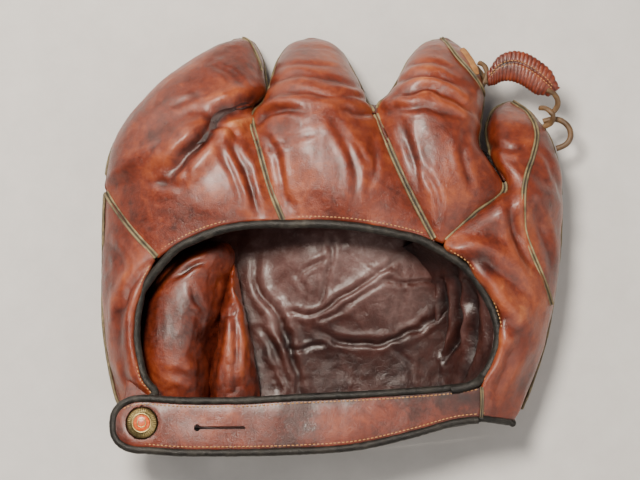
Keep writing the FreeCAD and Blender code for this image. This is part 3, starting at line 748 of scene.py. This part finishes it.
def make_heel():
    """The binding round the heel's edge, and the side panel between it and the outer finger."""
    edge = skin(PALM, -1, np.linspace(-1, 1, 160), [0.0], edge=0.4, power=DISH)[0]
    edge[:, 2] = np.maximum(edge[:, 2], 2.4)
    side_end = skin(HEEL_SIDE, 1, np.linspace(0.92, -0.98, 12), [4.24], inset=1.0, edge=0.4)[0]
    corner = skin(THUMB, 1, np.linspace(0.98, -0.94, 14), [0.0], inset=1.0, edge=0.4)[0]
    route = np.concatenate([side_end, edge[2:-2:3], corner])
    piece = rope("heel_edge_binding", route, HEEL_RIM_RADIUS, BLACK, 1.0, 560, 0.15, 14)
    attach(piece, "hand")
    points = skin(HEEL_SIDE, 1, around(60), np.linspace(0.03, 4.25, 120), edge=0.4)
    points, shade = sculpt(points, 1, FOLDS["heel"], soft=0.8, seed=90)
    piece = shell("heel_side_skin", points, LEATHER, [SKIN, LINER], shade)
    finish(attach(piece, "hand"), "cognac_leather", "heel_side_panel")


def pocket_height(x, y):
    """How high the pocket is pushed up into the hand."""
    return 17 + 24 * np.exp(-np.abs((x - 12) / 61) ** 3.2 - np.abs((y - 8) / 66) ** 2.6)


def make_pocket():
    """The lining of the pocket, pushed up into a wrinkled dome, with a painted sheen on the upper middle of
    the dome, painted shade in its crease valleys and a darker tone towards the thumb side.
    """
    sides = around(218, -0.985, 0.985)
    points = skin(PALM, -1, sides, np.linspace(0.05, 4.95, 208), inset=3.4, edge=3.5, power=DISH)
    x, y = points[..., 0], points[..., 1]
    high = np.maximum(points[..., 2] + 6, pocket_height(x, y))
    flat = points * (1, 1, 0)
    points[..., 2] = high + 1.2 * fuzz(flat, 22, 5) + 0.5 * fuzz(flat, 8, 6)
    crease = 0.8 * folded(points, FOLDS["lining"], 2.0, 21)
    points[..., 2] += crease + 0.35 * ripples(flat, 13, 8) + 0.2 * ripples(flat, 6, 9)
    # painted sheen: paler towards the top middle of the dome, a painted highlight for the light it reflects
    painted_sheen = np.clip((y + 62) / 60, 0, 1) * np.clip((72 - x) / 30, 0, 1) * np.clip((x + 62) / 14, 0, 1)
    # shade: the painted sheen, painted shade in the crease valleys with paler ridges, darker towards the
    # thumb side
    shade = 0.37 + 0.36 * painted_sheen + 0.06 * crease - 0.2 * np.clip((x - 50) / 30, 0, 1)
    shade = np.clip(shade + 0.12 * fuzz(points, 20, 4), 0, 1)
    piece = shell("pocket_lining", points, LINING, [LINER], shade)
    finish(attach(piece, "hand"), "dark_lining_leather", "palm_lining", "palm_pad")


def make_thumb_sheet():
    """The dark sheet that hangs from the opening's edge down to the pocket at the thumb side."""
    high_edge = flow([(52, 2, 69), (66, -7, 67), (79, -18, 65.5), (91, -36, 63), (97, -57, 61.5),
                      (93, -76, 60), (85, -90, 59)], 120)
    low_edge = flow([(40, 0, 0), (54, -12, 0), (61, -28, 0), (64, -46, 0), (65, -64, 0), (62, -84, 0),
                     (58, -100, 0)], 120)
    low_edge[:, 2] = pocket_height(low_edge[:, 0], low_edge[:, 1]) - 2.5
    across = np.linspace(0, 1, 80)[None, :, None]
    sheet = high_edge[:, None] * (1 - across) + low_edge[:, None] * across
    sheet[..., 2] -= 7 * np.sin(math.pi * across[..., 0])
    sheet, shade = sculpt(sheet, 1, FOLDS["thumb_lining"], soft=1.5, fine=0.3, seed=33)
    piece = shell("thumb_side_lining", sheet, 1.0, [LINER], shade * 0.75 - 0.12)
    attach(piece, "hand")


# ---------------------------------------------------------------- heel rolls

# Sections: left, right, crown
HEEL_ROLLS = {
    "outer_heel_roll": [
        ((-117, -107, 19), (-84, -107, 19), 22, 0, 0), ((-124, -93, 19), (-82, -93, 19), 28, 0, 0),
        ((-128, -74, 19), (-80, -74, 19), 33, 0, 0), ((-128, -54, 19), (-76, -54, 19), 35, 0, 0),
        ((-124, -34, 19), (-71.5, -34, 19), 36, 0, 0), ((-113, -16, 19), (-68, -16, 19), 35, 0, 0),
        ((-95, -3, 20), (-66.5, -4, 20), 32, 0, 0), ((-81, 2, 21), (-68, 2, 21), 22, 0, 0)],
    "inner_heel_roll": [
        ((-84, -107, 18), (-50, -107, 18), 19, 0, 0), ((-83, -84, 18), (-51.5, -84, 18), 24, 0, 0),
        ((-79, -62, 18), (-55, -62, 18), 26, 0, 0), ((-75, -42, 18), (-60, -42, 18), 26, 0, 0),
        ((-72, -24, 18), (-64, -24, 18), 22, 0, 0), ((-69.5, -9, 18), (-66.5, -9, 18), 14, 0, 0)]}
ROLL_FOLDS = [([(-104, -22), (-94, -16), (-82, -11)], 1.8, 1.8, 1.2),
              ([(-93, -27), (-89, -36), (-84, -44)], 1.8, 0.9, 0.7),
              ([(-108, -80), (-96, -84), (-84, -82)], 2.4, 0.7, 0.5),
              ([(-73, -44), (-76, -66), (-80, -90)], 1.8, 0.9, 0.7),
              ([(-66, -40), (-65, -66), (-66, -92)], 1.8, 1.4, 1.0)]


def make_heel_rolls():
    """Felt rolls of the heel under their leather. Each is blown up as cloth, so that its skin is taut."""
    for name, rows in HEEL_ROLLS.items():
        over = skin(rows, 1, around(30), np.linspace(0, len(rows) - 1, 46), inset=1.0, edge=0.5)
        under = over.copy()
        under[..., 2] = rows[0][0][2] - 1.5
        r, c = over.shape[:2]
        faces = quads(r, c) + quads(r, c, r * c, flip=True)
        faces += [(b, a, a + r * c, b + r * c) for a, b in edge_pairs(r, c)]
        pad = build(name, np.concatenate([over.reshape(-1, 3), under.reshape(-1, 3)]), faces, [SKIN])
        inflate(pad)
        dress(pad)
        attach(pad, "hand")
        if name == "outer_heel_roll":
            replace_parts(pad, "heel_pad", "heel_pad_cover")


def inflate(pad, voxel=0.0028, pressure=4.0, reach=0.0045, frames_run=20):
    """Blows a closed form up as cloth and keeps the result. No point moves further than reach metres."""
    scene = bpy.context.scene
    bpy.context.view_layer.objects.active = pad
    remesh = pad.modifiers.new("remesh", "REMESH")
    remesh.mode, remesh.voxel_size = "VOXEL", voxel
    apply_modifiers(pad)
    before = np.array([v.co for v in pad.data.vertices])
    sewn_below = before[:, 2].min() + 0.004
    group = pad.vertex_groups.new(name="sewn")
    group.add([i for i, z in enumerate(before[:, 2]) if z < sewn_below], 1.0, "REPLACE")
    cloth = pad.modifiers.new("cloth", "CLOTH")
    settings = cloth.settings
    settings.use_pressure, settings.uniform_pressure_force = True, pressure
    settings.effector_weights.gravity = 0
    settings.vertex_group_mass = "sewn"
    settings.tension_stiffness = settings.compression_stiffness = 12
    settings.bending_stiffness = 0.3
    settings.shrink_min = -0.03
    scene.frame_start, scene.frame_end = 1, frames_run
    for step in range(1, frames_run + 1):
        scene.frame_set(step)
    graph = bpy.context.evaluated_depsgraph_get()
    move = np.array([v.co for v in pad.evaluated_get(graph).data.vertices]) - before
    pad.modifiers.remove(cloth)
    scene.frame_set(1)
    length = np.linalg.norm(move, axis=1, keepdims=True)
    move *= np.minimum(1, reach / np.maximum(length, 1e-9))
    pad.data.vertices.foreach_set("co", (before + move).ravel())
    pad.data.update()


def apply_modifiers(piece):
    graph = bpy.context.evaluated_depsgraph_get()
    mesh = bpy.data.meshes.new_from_object(piece.evaluated_get(graph))
    piece.modifiers.clear()
    piece.data = mesh


def dress(pad):
    """Smooths a roll, cuts its folds and wrinkles, and gives it its leather."""
    smooth = pad.modifiers.new("smooth", "SUBSURF")
    smooth.levels = smooth.render_levels = 1
    apply_modifiers(pad)
    mesh = pad.data
    co, normal = np.empty((2, len(mesh.vertices) * 3))
    mesh.vertices.foreach_get("co", co)
    mesh.vertices.foreach_get("normal", normal)
    points = co.reshape(-1, 3) * 1000 + CENTRE
    crease = folded(points, ROLL_FOLDS, 1.2, 17)
    wrinkle = 0.35 * ripples(points * (1, 0.5, 1), 8, 3) + 0.5 * fuzz(points, 16, 2)
    points = points + normal.reshape(-1, 3) * (crease + wrinkle)[:, None]
    placed = metres(points).ravel()
    mesh.vertices.foreach_set("co", placed)
    # painted shade: darker in the folds' valleys, paler on the ridges beside them; random tone
    shade = 0.42 + 0.1 * crease + 0.16 * fuzz(points, 22, 6)
    for key, kind, field, values in (("place", "FLOAT_VECTOR", "vector", placed),
                                     ("shade", "FLOAT", "value", shade)):
        if key in mesh.attributes:
            mesh.attributes.remove(mesh.attributes[key])
        mesh.attributes.new(key, kind, "POINT").data.foreach_set(field, values)
    mesh.materials.clear()
    mesh.materials.append(SKIN)
    mesh.polygons.foreach_set("use_smooth", [True] * len(mesh.polygons))
    mesh.update()


# ---------------------------------------------------------------- seams and bindings

# Seams of the back: sections, side, first and last row, the CAD node
SEAMS = {"outer_middle": (OUTER, 1, 0.02, 2.96, "welt_outer_middle"),
         "middle_index": (MIDDLE, 1, 0.05, 2.96, "welt_middle_index"),
         "index_thumb": (INDEX, 1, 0.1, 2.15, "welt_index_thumb"),
         "heel_side": (OUTER, -1, 0.02, 2.1, "welt_heel_side")}
# Half the profile of a welt, from its edge to its middle: sideways, up, shade
WELT_PROFILE = [(-1.55, -1.6, 0.15), (-1.45, 0.1, 0.4), (-1.05, 0.75, 0.62), (-0.5, 0.7, 0.5),
                (-0.12, 0.15, 0.05)]


def make_welts():
    """Twin-ridged strips sewn into the seams of the back, and decorative ones of thumb, tips and strap."""
    for name, (rows, side, start, end, cad) in SEAMS.items():
        path = skin(rows, 1, [side], np.linspace(start, end, 70), edge=-0.2)[:, 0]
        piece = welt_strip("welt_" + name + "_strip", path, 1.4)
        finish(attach(piece, "hand"), "welt_leather", cad)
    thumb = flow([(115, 98.5, 0), (123, 89, 0), (126.5, 72, 0), (122.5, 55, 0), (117, 40, 0),
                  (114.5, 25, 0), (115.5, 8, 0), (120.5, -7, 0), (128, -23, 0), (134.5, -38, 0)], 130)
    bend_with(welt_strip("welt_thumb_side", on_top(thumb, THUMB), 1.15))
    index = flow([(69, 143, 0), (76, 123, 0), (85, 110, 0), (94, 98, 0)], 60)
    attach(welt_strip("welt_index_tip", on_top(index, INDEX), 0.95), "index_finger")
    outer = on_skin(OUTER, [(0.55, 9.9), (0.72, 8.6), (0.84, 7.5), (0.92, 6.6), (0.95, 6.0)], 60, 0.2)
    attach(welt_strip("welt_outer_tip", outer, 0.8), "outer_finger")
    heel = flow([(87.4, -91, 0), (87.6, -97, 0), (87.4, -104, 0), (87, -109.5, 0)], 30)
    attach(welt_strip("welt_strap_root", on_top(heel, THUMB) + (0, 0, 0.6), 0.75), "hand")


def on_top(path, rows):
    """The path put down on the back of a digit or panel."""
    grid = skin(rows, 1, np.linspace(-1, 1, 160), np.linspace(0, len(rows) - 1, 500)).reshape(-1, 3)
    dropped = np.array(path, float)
    for point in dropped:
        gap = np.hypot(*(grid[:, :2] - point[:2]).T)
        near = np.argsort(gap)[:6]
        weight = 1 / (gap[near] + 0.05)
        point[2] = (grid[near, 2] * weight).sum() / weight.sum()
    return dropped


def on_skin(rows, places, count, lift):
    """A smooth path over a digit's back through (side, row) places."""
    return np.array([skin(rows, 1, [s], [v], inset=-lift)[0, 0] for s, v in flow(places, count)])


def welt_strip(name, path, scale):
    """Two folded edges with a dark line of stitching between them."""
    path = flow(path, max(len(path) * 2, 60)) + (0, 0, 0.65)
    left = np.array(WELT_PROFILE)
    profile = np.concatenate([left, left[::-1] * (-1, 1, 1)])
    _, side, up = frames(path)
    points = path[:, None] + side[:, None] * profile[:, :1] * scale + up[:, None] * profile[:, 1:2] * scale
    points = points + 0.12 * fuzz(points, 2.5, 12)[..., None] * up[:, None]
    shade = np.clip(profile[:, 2] + 0.2 * fuzz(points, 6, 13), 0, 1)
    faces = quads(len(path), len(profile), flip=True)
    made = build(name, points.reshape(-1, 3), faces, [WELT], None, shade)
    return made


def rim_path(off=2.1):
    """The line of the back opening in four stretches, off millimetres inside the panels' edges."""
    stretches = []
    for rows, sides, places in ((HEEL_SIDE, [1], np.linspace(4.1, 0.5, 24)),
                                (OUTER, np.linspace(-0.93, 0.98, 26), [0.0]),
                                (MIDDLE, np.linspace(-0.98, 0.98, 36), [0.0]),
                                (THUMB, [-1], np.linspace(6.8, 2.0, 40))):
        line = skin(rows, 1, sides, places, inset=1.0, edge=0.9).reshape(-1, 3)
        way = np.gradient(line, axis=0)
        inward = np.stack([way[:, 1], -way[:, 0], 0 * way[:, 0]], 1)
        inward /= np.maximum(np.linalg.norm(inward, axis=1, keepdims=True), 1e-9)
        stretches.append(line + inward * off)
    return stretches


def make_opening():
    """The rolled black binding of the back opening, and the row of stitches that holds it."""
    heel, outer, middle, thumb = rim_path()
    route = np.concatenate([[(-117.5, -103, 59.6), (-116.5, -98.5, 59.4)], heel[::3], outer[2:-1:5],
                            middle[3:-1:6], thumb[2:-1:5],
                            [(84, -88.5, 66.0), (77, -91.2, 66.4), (68, -93.0, 66.6)]])
    made = rope("opening_rim", route, RIM_RADIUS, BLACK, 1.0, 620, 0.16, 20)
    finish(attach(made, "hand"), "black_binding_leather", "opening_binding")
    for name, rows, sides, places, edge in (
            ("outer", OUTER, np.linspace(-0.9, 0.97, 80), [0.13], 0.4),
            ("middle", MIDDLE, np.linspace(-0.97, 0.97, 100), [0.12], 0.4),
            ("thumb", THUMB, [-0.965], np.linspace(6.9, 2.1, 90), 0),
            ("heel", HEEL_SIDE, [0.93], np.linspace(4.1, 0.2, 90), 0)):
        line = skin(rows, 1, sides, places, inset=-0.15, edge=edge).reshape(-1, 3)
        if edge:
            line = flow(line[::4], 200)
        stitches("rim_stitches_" + name, line, "hand", RIM_SEWING)


# ---------------------------------------------------------------- strap and button

def strap_rows(count):
    """The strap's outline as rows of (x, top y, bottom y, height): a rounded nose and then the table."""
    table = np.array(STRAP, float)
    turn = np.linspace(math.pi / 2, 0, count // 5, endpoint=False)
    x, top, low, z = table[0]
    middle, half = (top + low) / 2, (top - low) / 2
    reach = np.cos(turn) ** 0.8 * half
    nose = np.stack([x - 21 * np.sin(turn) ** 0.8, middle + reach, middle - reach,
                     z - 1.4 * np.sin(turn) ** 2], 1)
    return np.concatenate([nose, flow(table, count)])


def strap_points(margin):
    """The strap's upper face, margin millimetres inside its edges."""
    rows = strap_rows(200)
    t = np.linspace(-1, 1, 26)[None]
    low, high = rows[:, 2:3] + margin, rows[:, 1:2] - margin
    y = (low + high) / 2 + np.maximum((high - low) / 2, 0.4) * t
    return np.stack([rows[:, :1] + 0 * t, y, rows[:, 3:4] - 0.6 * t ** 4], -1)


def make_strap():
    """The strap's leather: waves, a pull round the button, its buttonhole and the keyhole slit."""
    points = strap_points(1.6)
    x, y = points[..., 0], points[..., 1]
    waves = 0.5 * fuzz(points, 18, 70) + 0.22 * fuzz(points * (1, 0.5, 1), 6, 71)
    pull = 0.5 * np.exp(-((np.hypot(x - BUTTON_AT[0], y - BUTTON_AT[1]) - 12) / 3) ** 2)
    points[..., 2] += waves + pull
    # shade: random tone, darker in the dips of the waves (painted shade) and paler on their crests, darker
    # along the upper edge
    shade = 0.41 + 0.16 * fuzz(points, 24, 72) + 0.08 * waves - 0.12 * np.clip((y + 104) / 6, 0, 1)
    strap = shell("wrist_strap", points, STRAP_LEATHER, [SKIN, LINER], np.clip(shade, 0, 1))
    hole_x, hole_y = BUTTON_AT
    slit_start, slit_end = hole_x + SLIT[0], hole_x + SLIT[1]
    cut(strap, disc("hole", (hole_x, hole_y, 68), HOLE_RADIUS))
    cut(strap, disc("eye", (slit_start, hole_y - 3, 70), 1.9))
    cut(strap, block("slit", (slit_start, hole_y - 3.55, 60), (slit_end, hole_y - 2.45, 80)))
    bend_strap(strap)
    finish(strap, "cognac_leather", "strap_leather", "strap_lining")


def make_strap_edges():
    """The binding round the strap and its two rows of stitches."""
    rows = strap_rows(120)
    rows = rows[rows[:, 0] < 87]
    upper = rows[::-1, [0, 1, 3]] - (0, 0, 1.2)
    lower = rows[:, [0, 2, 3]] - (0, 0, 1.2)
    edge = np.concatenate([upper[::3], lower[::3]])
    made = rope("strap_edge_binding", edge, STRAP_RIM_RADIUS, BLACK, 1.0, 900, 0.15)
    bend_strap(made)
    finish(made, "black_binding_leather", "strap_binding")
    for name, inward, row in (("lower", 3.6, lower[16:-2]), ("upper", -3.4, upper[1:-12])):
        stitches("strap_stitches_" + name, row + (0, inward, 1.15), "strap", STRAP_SEWING)


def make_heel_corner():
    """The binding at the thumb side of the heel, where the strap is rooted."""
    corner = skin(THUMB, 1, np.linspace(-0.99, -0.55, 12), [0.0], inset=0.4, edge=0.2)[0]
    edge = flow(corner, 60)
    made = rope("heel_corner_binding", edge, 2.15, BLACK, 1.0, 160, 0.15)
    finish(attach(made, "hand"), "black_binding_leather", "strap_root_binding", "strap_root")
    row = on_top(edge[2:-3] + (0, 3.4, 0), THUMB) + (0, 0, 0.1)
    stitches("heel_corner_stitches", flow(row[::6], 60), "hand", STRAP_SEWING)


def disc(name, centre, radius, height=20, count=48):
    """A closed drum, for cutting a round hole."""
    turn = np.linspace(0, 2 * math.pi, count, endpoint=False)
    ring = np.stack([np.cos(turn) * radius, np.sin(turn) * radius, 0 * turn], 1)
    points = np.concatenate([ring + centre + (0, 0, z) for z in (-height / 2, height / 2)])
    caps = [tuple(range(count))[::-1], tuple(range(count, 2 * count))]
    return build(name, points, quads(2, count, ring=True) + caps, [])


def block(name, low, high):
    """A closed block, for cutting a slit."""
    corners = [(x, y, z) for z in (low[2], high[2]) for y in (low[1], high[1]) for x in (low[0], high[0])]
    faces = [(0, 2, 3, 1), (4, 5, 7, 6), (0, 1, 5, 4), (2, 6, 7, 3), (0, 4, 6, 2), (1, 3, 7, 5)]
    return build(name, np.array(corners), faces, [])


def cut(piece, tool):
    """Cuts the tool's shape out of the piece."""
    modifier = piece.modifiers.new("cut", "BOOLEAN")
    modifier.operation, modifier.object, modifier.solver = "DIFFERENCE", tool, "EXACT"
    apply_modifiers(piece)
    bpy.data.objects.remove(tool)


def lathe(name, profile, material, body="button", reeded=(0, 0), count=144):
    """A turned piece round the button's axis from (radius, height) points. Reeds lie between two radii."""
    turn = np.linspace(0, 2 * math.pi, count, endpoint=False)
    rings = []
    for radius, height in profile:
        depth = REED_DEPTH if reeded[0] < radius < reeded[1] else 0
        drop = depth * (0.5 - 0.5 * np.cos(REEDS * turn))
        rings.append(np.stack([np.cos(turn) * radius, np.sin(turn) * radius, height - drop], 1))
    points = np.concatenate(rings) + (*BUTTON_AT, 0)
    faces = quads(len(profile), count, ring=True)
    faces.append(tuple(range(len(points) - count, len(points))))
    made = build(name, points, faces, [material])
    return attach(made, body)


def make_button():
    """A brass snap cap with a reeded rim and a plain enamel middle, on its rivet."""
    rim = [(9.3, 64.5), (9.5, 65.0), (9.5, 67.0), (9.35, 68.0), (9.0, 68.7), (8.4, 69.2), (7.6, 69.6),
           (6.8, 69.9), (6.2, 70.1), (5.9, 70.35), (5.5, 70.4), (5.2, 70.15), (5.0, 69.8)]
    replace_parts(lathe("button_rim", rim, BRASS, reeded=(6.3, 9.4)), "button_cap")
    lathe("button_enamel", [(5.05, 69.7), (4.6, 70.0), (3.4, 70.35), (1.8, 70.6), (0.4, 70.65)], ENAMEL)
    lathe("button_inlay", [(3.0, 70.35), (2.9, 70.62), (2.6, 70.75), (2.3, 70.62), (2.2, 70.45)], BRASS)
    stem = [(5.0, 57.4), (5.0, 58.5), (2.0, 58.7), (2.0, 64.4), (1.9, 65.6), (0.3, 65.8)]
    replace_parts(lathe("button_stem", stem, BRASS, "hand"), "button_rivet")


def make_button_tab():
    """The leather tab under the strap's end: narrow at the heel's side panel, round below the button."""
    along = np.linspace(0, 1, 60)[:, None]
    across = np.linspace(-1, 1, 24)[None, :]
    end = 15 * np.sqrt(np.clip(1 - ((along - 0.62) / 0.385) ** 2, 0.0001, 1))
    half = np.where(along > 0.62, end, 6 + 9 * np.clip(along / 0.5, 0, 1) ** 1.3)
    x = BUTTON_AT[0] - 6 * np.clip(1 - along / 0.45, 0, 1) + half * across
    y = -86 - 40 * along + 0 * across
    z = 53.5 + 7.6 * np.clip(along * 2.2, 0, 1) ** 0.8 - 1.2 * np.abs(across) ** 3
    z = z + 3 * np.clip(0.3 - along, 0, 1) * across
    tab = shell("button_tab_leather", np.stack([x, y, z], -1), STRAP_LEATHER, [SKIN, LINER], 0.4 + 0 * x)
    finish(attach(tab, "hand"), "cognac_leather", "button_tab")


# ---------------------------------------------------------------- web and laces

def make_web():
    """A gathered leather tunnel: pleats all along it, two rows of stitches on top."""
    length, girth = 220, 72
    lower, upper = (flow([section[k] for section in WEB], length) for k in (0, 1))
    middle, half = (lower + upper) / 2, (upper - lower) / 2
    along = np.linspace(0, 1, length)[:, None]
    turn = np.linspace(0, 2 * math.pi, girth, endpoint=False)[None, :]
    cos, sin = np.cos(turn), np.sin(turn)
    squeeze = 0.62 + 0.38 * np.clip(np.sin(math.pi * np.clip(along, 0.02, 0.98)) * 2.2, 0, 1)
    phase = along * PLEATS * 2 * math.pi + 1.6 * cos + 1.5 * np.sin(9 * along)
    pleat = 0.62 * (np.abs(np.sin(phase / 2)) ** 0.8 - 0.5) * (0.35 + 0.65 * np.abs(cos))
    groove = -0.9 * np.exp(-((cos - 0.15) / 0.07) ** 2) * (sin > 0)
    points = middle[:, None] + half[:, None] * (cos * squeeze)[..., None]
    points[..., 2] += np.sign(sin) * np.abs(sin) ** 0.8 * (4.1 * squeeze)
    normal = facing(points)
    normal *= np.sign((normal * (points - middle[:, None])).sum(-1).mean())
    points += normal * (pleat + groove + 0.15 * fuzz(points, 3, 9))[..., None]
    # painted shade: darker in the pleats' valleys and along the groove, paler on the pleats' crests; random
    # tone
    shade = np.clip(0.38 + 0.35 * pleat + 0.25 * groove + 0.1 * fuzz(points, 9, 8), 0, 1)
    faces = quads(length, girth, ring=True)
    faces += [tuple(range(girth))[::-1], tuple(range((length - 1) * girth, length * girth))]
    web = build("web_tunnel", points.reshape(-1, 3), faces, [SKIN], None, shade)
    finish(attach(web, "web"), "cognac_leather", "web_upper", "web_lower")
    for name, s in (("inner", 0.02), ("outer", 0.30)):
        k = int(round(math.acos(s) / (2 * math.pi) * girth))
        stitches("web_stitches_" + name, points[8:-8, k] + (0, 0, 0.1), "web", WEB_SEWING)


# Rawhide ends and knots: route, radius, the body they ride on (None if they ride on none), count of rings
LACES = {
    "web_lace_index": ([(86, 121, 33), (90, 118, 36), (94, 112, 38), (97.5, 107, 41), (103, 112, 45)],
                       1.8, None, 90),
    "web_knot_index": ([(92, 122, 34), (95, 119, 38), (96.5, 113, 40), (94, 106, 39), (91.5, 101, 36)],
                       1.7, "index_finger", 90),
    "web_lace_thumb": ([(134, 101, 47), (139.5, 98.5, 44), (142, 93.5, 41), (140.5, 89.5, 38),
                        (137, 87, 36)], 1.8, "web", 110),
    "web_knot_thumb": ([(131, 92, 33), (135, 90.5, 37), (139, 86.5, 38), (138.5, 82, 34), (134, 80, 30)],
                       1.7, "thumb", 90)}


def make_laces():
    """Rawhide laces: through the web to both digits, with their knots, and the flat tie at the index tip."""
    for name, (route, radius, body, count) in LACES.items():
        lace = rope(name, route, radius, RAWHIDE, 0.75, count, 0.14)
        if body:
            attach(lace, body)
        else:
            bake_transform(lace)
        if body == "web":
            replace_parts(lace, "web_lace")
    tie = on_skin(INDEX, [(0.62, 7.5), (0.68, 6.9), (0.72, 6.3), (0.75, 5.8)], 40, 0.7)
    flat = rope("index_tip_lace", tie, 2.3, TAN_LACE, 0.35, 80, 0.14)
    finish(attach(flat, "index_finger"), "lace_rawhide", "index_lace")


def make_lace_loop():
    """The spare end of the thumb lace: out of the thumb's edge, round in a loop and back in."""
    data = bpy.data.curves.new("lace_loop", "CURVE")
    data.dimensions = "3D"
    spline = data.splines.new("NURBS")
    spline.points.add(len(LACE_LOOP) - 1)
    for point, place in zip(spline.points, metres(LACE_LOOP)):
        point.co = (*place, 1)
    spline.order_u = 3
    spline.use_endpoint_u = True
    data.bevel_depth = LACE_RADIUS / 1000
    data.bevel_resolution = 4
    data.resolution_u = 10
    data.use_fill_caps = True
    data.materials.append(RAWHIDE_CURVE)
    loop = bpy.data.objects.new("thumb_lace_loop", data)
    bpy.context.scene.collection.objects.link(loop)
    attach(loop, "thumb")
    finish(loop, "lace_rawhide", "lace_loop")


make_stage()
make_lace_loop()
make_digits()
make_palm()
make_heel()
make_pocket()
make_thumb_sheet()
make_heel_rolls()
make_welts()
make_opening()
make_strap()
make_strap_edges()
make_heel_corner()
make_button()
make_button_tab()
make_web()
make_laces()
